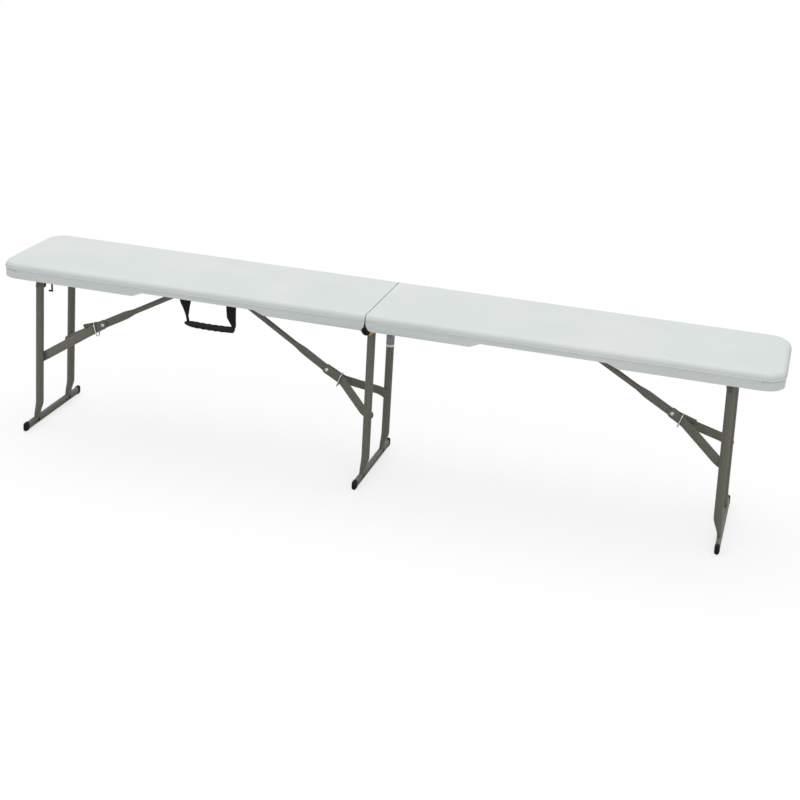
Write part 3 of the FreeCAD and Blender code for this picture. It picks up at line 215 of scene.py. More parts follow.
def turned(profile: Sequence[tuple[float, float]], origin: Array, axis: Array, count: int = 32) -> Skin:
    """Turns a profile about an axis.

    A profile point (radius, height) becomes a circle of that radius, that far along the axis.

    Args:
        profile: Radius and height pairs, from one end to the other.
        origin: Where the axis starts.
        axis: Its direction.
        count: Points round it.

    Returns:
        The closed surface.
    """
    axis = np.asarray(axis, float) / np.linalg.norm(axis)
    helper = np.array([0.0, 0.0, 1.0]) if abs(axis[2]) < 0.9 else np.array([1.0, 0.0, 0.0])
    first = np.cross(axis, helper)
    first /= np.linalg.norm(first)
    second = np.cross(axis, first)
    radius, height = np.array(profile, float).T
    turns = corner_turns(count)
    circle = np.cos(turns)[:, None] * first + np.sin(turns)[:, None] * second
    rings = np.asarray(origin, float) + radius[:, None, None] * circle + height[:, None, None] * axis
    return closed_skin(rings)


def recessed_head(origin: Array, axis: Array, radius: float, height: float, turn: float) -> Skin:
    """A round screw head with a cross recess.

    Its height over the disc is a dome, height * sqrt(1 - 0.8 (r / radius)^2), less a cross-shaped dip that
    fades out smoothly at its edges and at its ends.

    Args:
        origin: Middle of the seat under the head.
        axis: Direction that the head looks in.
        radius: Head radius.
        height: Head height.
        turn: Turn of the cross in degrees.

    Returns:
        The closed surface.
    """
    axis = np.asarray(axis, float)
    helper = np.array([0.0, 1.0, 0.0]) if abs(axis[1]) < 0.9 else np.array([1.0, 0.0, 0.0])
    first = np.cross(axis, helper)
    first /= np.linalg.norm(first)
    second = np.cross(axis, first)
    share = np.concatenate([np.linspace(0.04, 0.96, 16), [1.0, 1.0]])
    turns = corner_turns(48)
    flat_u, flat_v = share[:, None] * np.cos(turns) * radius, share[:, None] * np.sin(turns) * radius
    dome = height * np.sqrt(1 - 0.8 * share[:, None] ** 2) + 0 * turns
    dome[-1] = 0
    angle = math.radians(turn)
    cross_u = np.abs(flat_u * math.cos(angle) + flat_v * math.sin(angle)) / radius
    cross_v = np.abs(flat_v * math.cos(angle) - flat_u * math.sin(angle)) / radius
    arm = np.minimum(np.maximum(cross_u / 0.62, cross_v / 0.17), np.maximum(cross_v / 0.62, cross_u / 0.17))
    dip = np.clip((1.05 - arm) / 0.25, 0, 1)
    rise = dome - height * 0.62 * dip
    rise[-1] = 0
    rings = (np.asarray(origin, float) + flat_u[..., None] * first + flat_v[..., None] * second
             + rise[..., None] * axis)
    return closed_skin(rings)


def smooth_step(value: Array, low: float, high: float) -> Array:
    """Rises from 0 at low to 1 at high as 3 t^2 - 2 t^3."""
    share = np.clip((np.asarray(value, float) - low) / (high - low), 0, 1)
    return share * share * (3 - 2 * share)


def softened(stops: Sequence[tuple[float, float]], radius: float, steps: int = 6) -> Array:
    """A polyline whose inner corners are rounded.

    Each corner is replaced by a quadratic curve from radius before it to radius past it.

    Args:
        stops: Corner points in a plane.
        radius: Distance from a corner at which its curve starts.
        steps: Points on each curve.

    Returns:
        The path's points.
    """
    corners = np.array(stops, float)
    pieces = [corners[:1]]
    share = np.linspace(0, 1, steps)[:, None]
    for before, corner, after in zip(corners[:-2], corners[1:-1], corners[2:]):
        start = corner + (before - corner) / np.linalg.norm(before - corner) * radius
        stop = corner + (after - corner) / np.linalg.norm(after - corner) * radius
        pieces.append((1 - share) ** 2 * start + 2 * share * (1 - share) * corner + share ** 2 * stop)
    pieces.append(corners[-1:])
    return np.concatenate(pieces)


def merged(skins: Sequence[Skin]) -> Skin:
    """Several surfaces as one, with their face numbers moved up in turn.

    Args:
        skins: Surfaces to join.

    Returns:
        One surface with all their points and faces.
    """
    starts = np.cumsum([0] + [len(skin.points) for skin in skins])
    faces = [tuple(corner + int(start) for corner in face)
             for skin, start in zip(skins, starts) for face in skin.faces]
    flats = [skin.flat for skin in skins]
    flat = np.concatenate(flats) if all(item is not None for item in flats) else None
    return Skin(np.concatenate([skin.points for skin in skins]), faces, flat)


@dataclass(frozen=True)
class Place:
    """A place in the bench: a point and a turn about the Y axis.

    A local point (x, y, z) goes to origin + (x cos a + z sin a, y, z cos a - x sin a).

    Args:
        x: Origin along the bench.
        z: Origin above the floor.
        turn: Turn in degrees.
    """

    x: float
    z: float
    turn: float = 0.0

    def put(self, skin: Skin) -> Skin:
        """Moves a surface from local to bench coordinates."""
        return Skin(self.points(skin.points), skin.faces, skin.flat)

    def points(self, local: Array) -> Array:
        """Moves points from local to bench coordinates.

        Args:
            local: Points in the place's own frame.

        Returns:
            The same points in the bench.
        """
        angle = math.radians(self.turn)
        x, y, z = np.asarray(local, float).T
        return np.stack([self.x + x * math.cos(angle) + z * math.sin(angle), y,
                         self.z + z * math.cos(angle) - x * math.sin(angle)], axis=-1)


# Finishes.


class Recipe:
    """A material's node tree, built through short calls."""

    def __init__(self, name: str) -> None:
        """Starts a material with a plain surface shader.

        Args:
            name: Material name.
        """
        self.material = bpy.data.materials.new(name)
        self.material.use_nodes = True
        self.tree = self.material.node_tree
        self.tree.nodes.clear()
        self.shader = self.tree.nodes.new("ShaderNodeBsdfPrincipled")
        output = self.tree.nodes.new("ShaderNodeOutputMaterial")
        self.tree.links.new(self.shader.outputs["BSDF"], output.inputs["Surface"])
        self.place = self.tree.nodes.new("ShaderNodeTexCoord").outputs["Object"]

    def node(self, kind: str, **inputs: object) -> bpy.types.Node:
        """Adds a node and sets or links its inputs by name.

        Args:
            kind: Type of node.
            **inputs: Values or sockets by input name.

        Returns:
            The node.
        """
        made = self.tree.nodes.new(kind)
        for name, value in inputs.items():
            self.feed(made.inputs[name.replace("_", " ")], value)
        return made

    def feed(self, target: Socket, value: object) -> None:
        """Links a socket or sets its value.

        Args:
            target: Input socket.
            value: A socket to link, or a value to set.
        """
        if isinstance(value, bpy.types.NodeSocket):
            self.tree.links.new(value, target)
        else:
            target.default_value = value

    def stretched(self, x: float, y: float, z: float, place: Socket | None = None) -> Socket:
        """The object's coordinates, scaled along each axis."""
        return self.node("ShaderNodeMapping", Vector=place or self.place, Scale=(x, y, z)).outputs["Vector"]

    def noise(self, scale: float, detail: float = 3.0, place: Socket | None = None) -> Socket:
        """Smooth noise from 0 to 1."""
        made = self.node("ShaderNodeTexNoise", Vector=place or self.place, Scale=scale, Detail=detail)
        return made.outputs["Fac"]

    def cells(self, scale: float, place: Socket | None = None) -> Socket:
        """Distance to the nearest of many scattered points, softened.

        Args:
            scale: Cells in a metre.
            place: Coordinates, by default the object's.

        Returns:
            The distance.
        """
        made = self.node("ShaderNodeTexVoronoi", Vector=place or self.place, Scale=scale)
        made.feature = "SMOOTH_F1"
        return made.outputs["Distance"]

    def span(self, value: Socket, low: float, high: float, start: float = 0.0, stop: float = 1.0) -> Socket:
        """Maps low..high to start..stop and holds the ends.

        Args:
            value: What is mapped.
            low: Start of its range.
            high: End of its range.
            start: Result at the start.
            stop: Result at the end.

        Returns:
            The mapped value.
        """
        made = self.node("ShaderNodeMapRange", Value=value)
        for name, amount in (("From Min", low), ("From Max", high), ("To Min", start), ("To Max", stop)):
            made.inputs[name].default_value = amount
        return made.outputs["Result"]

    def sum(self, kind: str, first: object, second: object) -> Socket:
        """One arithmetic step.

        Args:
            kind: Operation.
            first: First term.
            second: Second term.

        Returns:
            The result.
        """
        made = self.tree.nodes.new("ShaderNodeMath")
        made.operation = kind
        self.feed(made.inputs[0], first)
        self.feed(made.inputs[1], second)
        return made.outputs["Value"]

    def tint(self, share: Socket, first: Sequence[float], second: Sequence[float] | Socket) -> Socket:
        """A colour between two, by a share from 0 to 1.

        Args:
            share: How much of the second colour shows.
            first: Colour at 0.
            second: Colour at 1.

        Returns:
            The colour.
        """
        made = self.tree.nodes.new("ShaderNodeMix")
        made.data_type = "RGBA"
        self.feed(made.inputs["Factor"], share)
        for socket, colour in ((made.inputs[6], first), (made.inputs[7], second)):
            self.feed(socket, colour if isinstance(colour, bpy.types.NodeSocket) else (*colour, 1.0))
        return made.outputs[2]

    def relief(self, height: Socket, depth: float, strength: float = 1.0,
               below: Socket | None = None) -> Socket:
        """A bumped normal, its depth in millimetres.

        Args:
            height: Height from 0 to 1.
            depth: Depth in millimetres.
            strength: How strongly it shows.
            below: Normal of a coarser relief under it.

        Returns:
            The normal.
        """
        made = self.node("ShaderNodeBump", Height=height, Distance=depth * METRE, Strength=strength)
        if below is not None:
            self.tree.links.new(below, made.inputs["Normal"])
        return made.outputs["Normal"]

    def finish(self, **inputs: object) -> bpy.types.Material:
        """Sets the shader's inputs by name and returns the material.

        Args:
            **inputs: Values or sockets by input name.

        Returns:
            The material.
        """
        for name, value in inputs.items():
            if isinstance(value, tuple) and len(value) == 3:
                value = (*value, 1.0)
            self.feed(self.shader.inputs[name.replace("_", " ")], value)
        return self.material


def plain(red: int, green: int, blue: int) -> tuple[float, float, float]:
    """A screen colour of 0 to 255 as linear light, by the sRGB curve.

    Args:
        red: Red, 0 to 255.
        green: Green.
        blue: Blue.

    Returns:
        Linear red, green and blue.
    """
    share = np.array([red, green, blue]) / 255
    linear = np.where(share <= 0.04045, share / 12.92, ((share + 0.055) / 1.055) ** 2.4)
    return tuple(float(value) for value in linear)


@dataclass(frozen=True)
class MouldedSeat:
    """Pale blow-moulded polyethylene with a fine pebbled grain.

    Args:
        pale: Colour of most of the surface.
        cool: Slightly darker, cooler colour in broad soft clouds.
        grain: Grain spacing as cells in a metre.
    """

    pale: tuple[float, float, float] = plain(218, 222, 219)
    cool: tuple[float, float, float] = plain(211, 217, 214)
    grain: float = 620.0

    def material(self) -> bpy.types.Material:
        """Grain, a faint swell of the skin and clouds of colour.

        Returns:
            The material.
        """
        recipe = Recipe("moulded_seat")
        clouds = recipe.span(recipe.noise(5.0, 4.0), 0.35, 0.65)
        speckle = recipe.span(recipe.noise(1500.0, 2.0), 0.3, 0.7, 0.0, 0.25)
        colour = recipe.tint(clouds, self.pale, self.cool)
        colour = recipe.tint(speckle, colour, plain(196, 201, 198))
        swell = recipe.relief(recipe.noise(28.0, 2.0), 0.25, 0.5)
        grain = recipe.relief(recipe.cells(self.grain), 0.10, 0.55, swell)
        gloss = recipe.span(recipe.noise(60.0, 3.0), 0.3, 0.7, 0.42, 0.54)
        return recipe.finish(Base_Color=colour, Roughness=gloss, Normal=grain, Specular_IOR_Level=0.42)


@dataclass(frozen=True)
class HammeredPaint:
    """Grey-brown hammered powder coat.

    Args:
        body: Colour of the raised dapples.
        valley: Colour between them.
        dapple: Dapple spacing as cells in a metre.
    """

    body: tuple[float, float, float] = plain(112, 110, 98)
    valley: tuple[float, float, float] = plain(93, 91, 80)
    dapple: float = 520.0

    def material(self) -> bpy.types.Material:
        """Dapples in colour, gloss and relief, with fine metallic flecks.

        Returns:
            The material.
        """
        recipe = Recipe("hammered_paint")
        wander = recipe.noise(180.0, 2.0)
        dapples = recipe.cells(self.dapple)
        share = recipe.span(dapples, 0.25, 0.75)
        colour = recipe.tint(share, self.body, self.valley)
        flecks = recipe.span(recipe.noise(2600.0, 1.0), 0.62, 0.72, 0.0, 0.25)
        colour = recipe.tint(flecks, colour, plain(138, 136, 124))
        patches = recipe.span(wander, 0.35, 0.65, 0.0, 0.16)
        colour = recipe.tint(patches, colour, plain(84, 82, 71))
        bumps = recipe.relief(dapples, 0.10, 0.6)
        gloss = recipe.span(wander, 0.3, 0.7, 0.36, 0.5)
        return recipe.finish(Base_Color=colour, Metallic=0.12, Roughness=gloss, Normal=bumps)


@dataclass(frozen=True)
class YellowZinc:
    """Zinc plate with a yellow passivation that shifts towards green and pink.

    Args:
        gold: Main film colour.
        green: Colour it drifts to in broad patches.
        pink: Colour of smaller patches over both.
    """

    gold: tuple[float, float, float] = plain(214, 172, 66)
    green: tuple[float, float, float] = plain(176, 178, 92)
    pink: tuple[float, float, float] = plain(206, 140, 92)

    def material(self) -> bpy.types.Material:
        """Drifting film colours over fine rolling lines.

        Returns:
            The material.
        """
        recipe = Recipe("yellow_zinc")
        film = recipe.tint(recipe.span(recipe.noise(60.0, 3.0), 0.45, 0.68), self.gold, self.green)
        film = recipe.tint(recipe.span(recipe.noise(95.0, 2.0), 0.55, 0.75, 0.0, 0.7), film, self.pink)
        lines = recipe.noise(1.0, 4.0, recipe.stretched(160.0, 160.0, 2200.0))
        gloss = recipe.span(lines, 0.3, 0.7, 0.26, 0.42)
        return recipe.finish(Base_Color=film, Metallic=0.9, Roughness=gloss,
                             Normal=recipe.relief(lines, 0.03, 0.5))


@dataclass(frozen=True)
class PlatedSteel:
    """Bright or blackened plating on small steel pieces.

    Args:
        name: Material name.
        face: Main colour.
        dull: Colour of the duller patches.
        rough: Roughness near the middle of its range.
    """

    name: str
    face: tuple[float, float, float]
    dull: tuple[float, float, float]
    rough: float

    def material(self) -> bpy.types.Material:
        """Cloudy plating with fine scratches in gloss and relief.

        Returns:
            The material.
        """
        recipe = Recipe(self.name)
        clouds = recipe.span(recipe.noise(240.0, 4.0), 0.35, 0.7)
        colour = recipe.tint(clouds, self.face, self.dull)
        scratches = recipe.noise(1.0, 3.0, recipe.stretched(3600.0, 300.0, 900.0))
        gloss = recipe.span(scratches, 0.3, 0.7, self.rough - 0.06, self.rough + 0.08)
        return recipe.finish(Base_Color=colour, Metallic=1.0, Roughness=gloss,
                             Normal=recipe.relief(scratches, 0.02, 0.4))


@dataclass(frozen=True)
class MouldedBlack:
    """Black moulded plastic with a spark-eroded texture.

    Args:
        deep: Colour of the moulded surface.
        worn: Colour where it is rubbed.
    """

    deep: tuple[float, float, float] = plain(13, 13, 14)
    worn: tuple[float, float, float] = plain(25, 25, 26)

    def material(self) -> bpy.types.Material:
        """Fine texture with greyer patches where it is rubbed.

        Returns:
            The material.
        """
        recipe = Recipe("moulded_black")
        colour = recipe.tint(recipe.span(recipe.noise(70.0, 5.0), 0.45, 0.75), self.deep, self.worn)
        texture = recipe.noise(1400.0, 2.0)
        gloss = recipe.span(recipe.noise(45.0, 3.0), 0.3, 0.7, 0.45, 0.62)
        return recipe.finish(Base_Color=colour, Roughness=gloss, Specular_IOR_Level=0.22,
                             Normal=recipe.relief(texture, 0.06, 0.6))


@dataclass(frozen=True)
class GripSleeve:
    """Charcoal grip sleeve, a little lighter than the webbing.

    Args:
        face: Colour of the sleeve.
        rub: Colour where it is rubbed.
    """

    face: tuple[float, float, float] = plain(20, 20, 20)
    rub: tuple[float, float, float] = plain(38, 38, 38)

    def material(self) -> bpy.types.Material:
        """Soft fine texture with paler rubbed patches.

        Returns:
            The material.
        """
        recipe = Recipe("grip_sleeve")
        rubbed = recipe.span(recipe.noise(55.0, 3.0), 0.5, 0.72, 0.0, 0.7)
        colour = recipe.tint(rubbed, self.face, self.rub)
        texture = recipe.noise(1100.0, 3.0)
        gloss = recipe.span(recipe.noise(120.0, 2.0), 0.3, 0.7, 0.5, 0.66)
        return recipe.finish(Base_Color=colour, Roughness=gloss, Specular_IOR_Level=0.25,
                             Normal=recipe.relief(texture, 0.08, 0.7))


@dataclass(frozen=True)
class WovenStrap:
    """Black polyester webbing: a twill whose ribs run along the strap.

    Args:
        thread: Colour of the raised threads.
        shade: Colour between them.
        pitch: Threads in a metre.
    """

    thread: tuple[float, float, float] = plain(30, 30, 31)
    shade: tuple[float, float, float] = plain(8, 8, 9)
    pitch: float = 900.0

    def material(self) -> bpy.types.Material:
        """Two crossed sine waves on the strap's own coordinates give the weave.

        Returns:
            The material.
        """
        recipe = Recipe("woven_strap")
        flat = recipe.tree.nodes.new("ShaderNodeTexCoord").outputs["UV"]
        apart = recipe.node("ShaderNodeSeparateXYZ", Vector=flat)
        along = recipe.sum("MULTIPLY", apart.outputs["Y"], self.pitch * math.pi)
        across = recipe.sum("MULTIPLY", apart.outputs["X"], self.pitch * math.pi)
        skew = recipe.sum("ADD", across, recipe.sum("MULTIPLY", along, 0.5))
        warp = recipe.sum("ABSOLUTE", recipe.sum("SINE", skew, 0.0), 0.0)
        weft = recipe.sum("ABSOLUTE", recipe.sum("SINE", along, 0.0), 0.0)
        weave = recipe.sum("MULTIPLY", warp, recipe.span(weft, 0.0, 1.0, 0.55, 1.0))
        colour = recipe.tint(weave, self.shade, self.thread)
        fuzz = recipe.span(recipe.noise(900.0, 2.0), 0.3, 0.7, 0.78, 0.92)
        ribs = recipe.relief(weave, 0.25, 0.9)
        return recipe.finish(Base_Color=colour, Roughness=fuzz, Normal=ribs, Sheen_Weight=0.06,
                             Sheen_Roughness=0.45, Specular_IOR_Level=0.2)


@dataclass(frozen=True)
class LabelFilm:
    """Plain blank film with faint creases, darkened along them as painted shade, and a whiter lower edge.

    Args:
        film: Colour of the film.
        crease: Colour in its creases.
        band: Height of the whiter edge's top in metres.
    """

    film: tuple[float, float, float] = plain(150, 154, 160)
    # crease: Colour of the painted shade along its creases.
    crease: tuple[float, float, float] = plain(118, 122, 128)
    band: float = 0.2905

    def material(self) -> bpy.types.Material:
        """Soft creases in gloss and relief, with painted shade along them in the colour.

        Returns:
            The material.
        """
        recipe = Recipe("label_film")
        creases = recipe.noise(1.0, 3.0, recipe.stretched(150.0, 150.0, 420.0))
        height = recipe.node("ShaderNodeSeparateXYZ", Vector=recipe.place).outputs["Z"]
        band = recipe.span(height, self.band - 0.0006, self.band + 0.0006)
        # Painted shade: the film darkens towards the crease colour where the crease pattern rises.
        colour = recipe.tint(recipe.span(creases, 0.4, 0.7), self.film, self.crease)
        colour = recipe.tint(band, plain(232, 233, 234), colour)
        gloss = recipe.span(creases, 0.3, 0.7, 0.24, 0.4)
        return recipe.finish(Base_Color=colour, Roughness=gloss, Normal=recipe.relief(creases, 0.12, 0.5))


FINISHES: dict[str, Callable[[], bpy.types.Material]] = {
    Slot.SEAT.value: MouldedSeat().material,
    Slot.PAINT.value: HammeredPaint().material,
    Slot.ZINC.value: YellowZinc().material,
    Slot.STEEL.value: PlatedSteel("bright_zinc", plain(206, 206, 203), plain(160, 160, 156), 0.30).material,
    Slot.DARK.value: PlatedSteel("blackened_steel", plain(74, 73, 70), plain(48, 47, 45), 0.42).material,
    Slot.CHROME.value: PlatedSteel("ring_chrome", plain(232, 232, 233), plain(206, 206, 208), 0.16).material,
    Slot.BLACK.value: MouldedBlack().material,
    Slot.WEBBING.value: WovenStrap().material,
    Slot.FILM.value: LabelFilm().material,
    "grip_sleeve": GripSleeve().material,
}
_made: dict[str, bpy.types.Material] = {}


def finish_for(name: str) -> bpy.types.Material:
    """The material of a finish, made on first use.

    Args:
        name: A name in FINISHES.

    Returns:
        The material.
    """
    if name not in _made:
        _made[name] = FINISHES[name]()
    return _made[name]


def make_piece(name: str, skins: Sequence[Skin], slot: Slot, body: str, stands_for: Sequence[str] = (),
               finish: str = "", crease: float = 40.0) -> bpy.types.Object:
    """Makes one piece of the scene from surfaces in millimetres.

    Args:
        name: Object name.
        skins: Its surfaces.
        slot: Material slot that the finish comes from.
        body: Moving body that it rides on.
        stands_for: Nodes that it takes the place of.
        finish: Finish name where it isn't the slot's own.
        crease: Angle in degrees above which an edge stays sharp.

    Returns:
        The object.
    """
    skin = merged(skins)
    mesh = bpy.data.meshes.new(name)
    mesh.from_pydata((skin.points * METRE).tolist(), [], skin.faces)
    if skin.flat is not None:
        layer = mesh.uv_layers.new(name="UVMap")
        corners = np.empty(len(mesh.loops), np.int32)
        mesh.loops.foreach_get("vertex_index", corners)
        layer.data.foreach_set("uv", (skin.flat * METRE)[corners].astype(np.float32).ravel())
    mesh.polygons.foreach_set("use_smooth", np.ones(len(mesh.polygons), bool))
    mesh.set_sharp_from_angle(angle=math.radians(crease))
    mesh.materials.append(finish_for(finish or slot.value))
    made = bpy.data.objects.new(name, mesh)
    bpy.context.scene.collection.objects.link(made)
    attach(made, body)
    if stands_for:
        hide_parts(*stands_for)
    LOG.info("%s: %d faces on %s", name, len(mesh.polygons), body)
    return made


DARKENED = {name: Slot.DARK.value for name in ("closing_hook", "hook_screw")}


def dress_nodes() -> None:
    """Gives every CAD node that still shows the finish of its slot."""
    slots = {item["node"]: item["material_slot"] for item in frame["record"]["subparts"]}
    for name, item in frame["nodes"].items():
        item.data.materials.clear()
        item.data.materials.append(finish_for(DARKENED.get(name, slots[name])))
    LOG.info("%d nodes dressed", len(slots))


# Studio.


@dataclass(frozen=True)
class Studio:
    """Camera, floor and lights, with the camera solved from the photograph's straight edges.

    Args:
        eye: Camera place in millimetres.
        pitch: Tilt of the view in radians, downward negative.
        yaw: Turn of the view from +Y towards +X.
        roll: Turn about the view.
        focal_px: Focal length in pixels of an 800 pixel frame.
        centre_px: Where the view's axis meets that frame.
        frame_px: Width of the frame.
        sky_light: Strength of the even light from all round.
        bounce: Floor's paleness for the light that it throws back up.
        veil: Share of plain white in what the camera sees of the floor, which keeps the shadow faint.
        floor_half: Half width of the floor in metres.
    """

    eye: tuple[float, float, float] = (912.63, -3174.87, 1515.58)
    pitch: float = -0.3817
    yaw: float = -0.2751
    roll: float = 0.0550
    focal_px: float = 1507.34
    centre_px: tuple[float, float] = (384.95, 394.82)
    frame_px: float = 800.0
    sky_light: float = 0.62
    bounce: float = 0.62
    veil: float = 0.72
    floor_half: float = 40.0

    def axes(self) -> tuple[Array, Array, Array]:
        """Right, up and backward directions of the camera, from its three angles.

        Returns:
            Three unit vectors.
        """
        level = math.cos(self.pitch)
        ahead = np.array([math.sin(self.yaw) * level, math.cos(self.yaw) * level, math.sin(self.pitch)])
        right = np.cross(ahead, [0, 0, 1])
        right /= np.linalg.norm(right)
        above = np.cross(right, ahead)
        cosine, sine = math.cos(self.roll), math.sin(self.roll)
        return right * cosine + above * sine, above * cosine - right * sine, -ahead

    def camera(self) -> None:
        """Makes the camera at the photograph's viewpoint."""
        lens = bpy.data.cameras.new("camera")
        lens.sensor_width = 36.0
        lens.lens = lens.sensor_width * self.focal_px / self.frame_px
        lens.shift_x = (self.frame_px / 2 - self.centre_px[0]) / self.frame_px
        lens.shift_y = (self.centre_px[1] - self.frame_px / 2) / self.frame_px
        lens.clip_start, lens.clip_end = 0.05, 60.0
        item = bpy.data.objects.new("camera", lens)
        bpy.context.scene.collection.objects.link(item)
        matrix = np.eye(4)
        matrix[:3, :3] = np.stack(self.axes(), axis=1)
        matrix[:3, 3] = np.array(self.eye) * METRE
        item.matrix_world = Matrix(matrix.tolist())
        bpy.context.scene.camera = item

    def lamp(self, name: str, heading: tuple[float, float, float], softness: float, strength: float) -> None:
        """Adds a soft distant lamp.

        Args:
            name: Object name.
            heading: Direction from the bench to the lamp.
            softness: Angle in degrees that the lamp fills.
            strength: Light on a surface that faces it.
        """
        light = bpy.data.lights.new(name, "SUN")
        light.angle = math.radians(softness)
        light.energy = strength
        item = bpy.data.objects.new(name, light)
        bpy.context.scene.collection.objects.link(item)
        back = np.array(heading) / np.linalg.norm(heading)
        right = np.cross([0, 1, 0], back)
        right /= np.linalg.norm(right)
        matrix = np.eye(4)
        matrix[:3, :3] = np.stack([right, np.cross(back, right), back], axis=1)
        item.matrix_world = Matrix(matrix.tolist())

    def seen_white(self, tree: bpy.types.NodeTree, lit: Socket, target: Socket) -> None:
        """Shows plain white to the camera and to mirrors, and the lit shader to all other rays.

        Args:
            tree: Node tree.
            lit: Shader for all other rays.
            target: Where the choice goes.
        """
        rays = tree.nodes.new("ShaderNodeLightPath")
        seen = rays.outputs["Is Camera Ray"]
        for name in ("Is Glossy Ray", "Is Transmission Ray"):
            either = tree.nodes.new("ShaderNodeMath")
            either.operation = "MAXIMUM"
            tree.links.new(seen, either.inputs[0])
            tree.links.new(rays.outputs[name], either.inputs[1])
            seen = either.outputs["Value"]
        white = tree.nodes.new("ShaderNodeBackground")
        white.inputs["Color"].default_value = (1, 1, 1, 1)
        choice = tree.nodes.new("ShaderNodeMixShader")
        tree.links.new(seen, choice.inputs["Fac"])
        tree.links.new(lit, choice.inputs[1])
        tree.links.new(white.outputs["Background"], choice.inputs[2])
        tree.links.new(choice.outputs["Shader"], target)

    def sky(self) -> None:
        """An even pale surround that the camera sees as white."""
        world = bpy.data.worlds.new("surround")
        bpy.context.scene.world = world
        world.use_nodes = True
        tree = world.node_tree
        tree.nodes.clear()
        soft = tree.nodes.new("ShaderNodeBackground")
        soft.inputs["Color"].default_value = (0.97, 0.985, 1.0, 1)
        soft.inputs["Strength"].default_value = self.sky_light
        output = tree.nodes.new("ShaderNodeOutputWorld")
        self.seen_white(tree, soft.outputs["Background"], output.inputs["Surface"])

    def floor(self) -> None:
        """A wide pale floor that keeps the bench's shadow and is clear from below."""
        half, level = self.floor_half, -0.0004
        mesh = bpy.data.meshes.new("floor")
        corners = [(-half, -half, level), (half, -half, level), (half, half, level), (-half, half, level)]
        mesh.from_pydata(corners, [], [(0, 1, 2, 3)])
        recipe = Recipe("pale_floor")
        drift = recipe.span(recipe.noise(0.6, 2.0), 0.3, 0.7)
        seen = recipe.tree.nodes.new("ShaderNodeLightPath").outputs["Is Camera Ray"]
        pale = recipe.tint(drift, (0.985, 0.985, 0.985), (1.0, 1.0, 1.0))
        recipe.finish(Base_Color=recipe.tint(seen, (self.bounce,) * 3, pale), Roughness=0.9,
                      Specular_IOR_Level=0.0)
        white = recipe.node("ShaderNodeEmission", Color=(1, 1, 1, 1), Strength=1.0)
        share = recipe.sum("MULTIPLY", seen, self.veil)
        choice = recipe.tree.nodes.new("ShaderNodeMixShader")
        output = next(item for item in recipe.tree.nodes if item.bl_idname == "ShaderNodeOutputMaterial")
        recipe.feed(choice.inputs["Fac"], share)
        recipe.feed(choice.inputs[1], recipe.shader.outputs["BSDF"])
        recipe.feed(choice.inputs[2], white.outputs["Emission"])
        under = recipe.tree.nodes.new("ShaderNodeNewGeometry").outputs["Backfacing"]
        clear = recipe.tree.nodes.new("ShaderNodeBsdfTransparent")
        open_below = recipe.tree.nodes.new("ShaderNodeMixShader")
        recipe.feed(open_below.inputs["Fac"], under)
        recipe.feed(open_below.inputs[1], choice.outputs["Shader"])
        recipe.feed(open_below.inputs[2], clear.outputs["BSDF"])
        recipe.feed(output.inputs["Surface"], open_below.outputs["Shader"])
        mesh.materials.append(recipe.material)
        item = bpy.data.objects.new("floor", mesh)
        bpy.context.scene.collection.objects.link(item)

    def build(self) -> None:
        """Sets up the view and the light."""
        scene = bpy.context.scene
        scene.view_settings.view_transform = "Standard"
        self.camera()
        self.sky()
        self.floor()
        self.lamp("overhead", (-0.15, 0.2, 1.0), 70.0, 1.2)
        self.lamp("front", (0.45, -1.0, 0.6), 60.0, 0.4)


# The bench.


JOINTS = {item["name"]: item for item in frame["record"]["behaviour"]["joints"]}
ACROSS = np.array([0.0, 1.0, 0.0])
ALONG = np.array([1.0, 0.0, 0.0])
LINE_LEVEL = 416.0  # The moulding line round the seat.
SKIRT = 22.7  # From that line down to the skirt's lower edge.


def hinge_place(joint: str) -> tuple[float, float]:
    """Where a hinge turns, along the bench and above the floor, from the record."""
    place = JOINTS[joint]["pos_m"]
    return place[0] / METRE, place[2] / METRE


def inset(distance: Array, radius: float) -> Array:
    """How far a quarter-round end of a radius draws a side in, at a distance from the end."""
    left = radius - np.clip(distance, 0, radius)
    return radius - np.sqrt(radius ** 2 - left ** 2)


def toward_end(end: float, radius: float, steps: int = 6) -> Array:
    """Stations through a quarter-round end, close together at the very end."""
    return end - radius * (1 - np.sin(np.linspace(0, math.pi / 2, steps)))


def stacked(levels: Array, half_u: Array, half_v: Array, corner: Array, axis: str, centre: Sequence[float],
            count: int = 32) -> Skin:
    """Rounded rectangles stacked along an axis.

    Args:
        levels: Places of the rectangles along the axis.
        half_u: Half sizes along the first of the other two axes.
        half_v: Half sizes along the second.
        corner: Corner radii.
        axis: The axis, "y" or "z".
        centre: Place of the stack along the other two axes, or one for each level.
        count: Points in a ring.

    Returns:
        The closed surface.
    """
    levels = np.asarray(levels, float)
    spread = [np.broadcast_to(item, levels.shape) for item in (half_u, half_v, corner)]
    middles = np.broadcast_to(np.asarray(centre, float), (len(levels), 2))
    flat = boxy_rings(*spread, count) + middles[:, None, :]
    heights = np.broadcast_to(levels[:, None, None], flat.shape[:2] + (1,))
    parts = [flat[..., :1], heights, flat[..., 1:]] if axis == "y" else [flat, heights]
    return closed_skin(np.concatenate(parts, axis=-1))


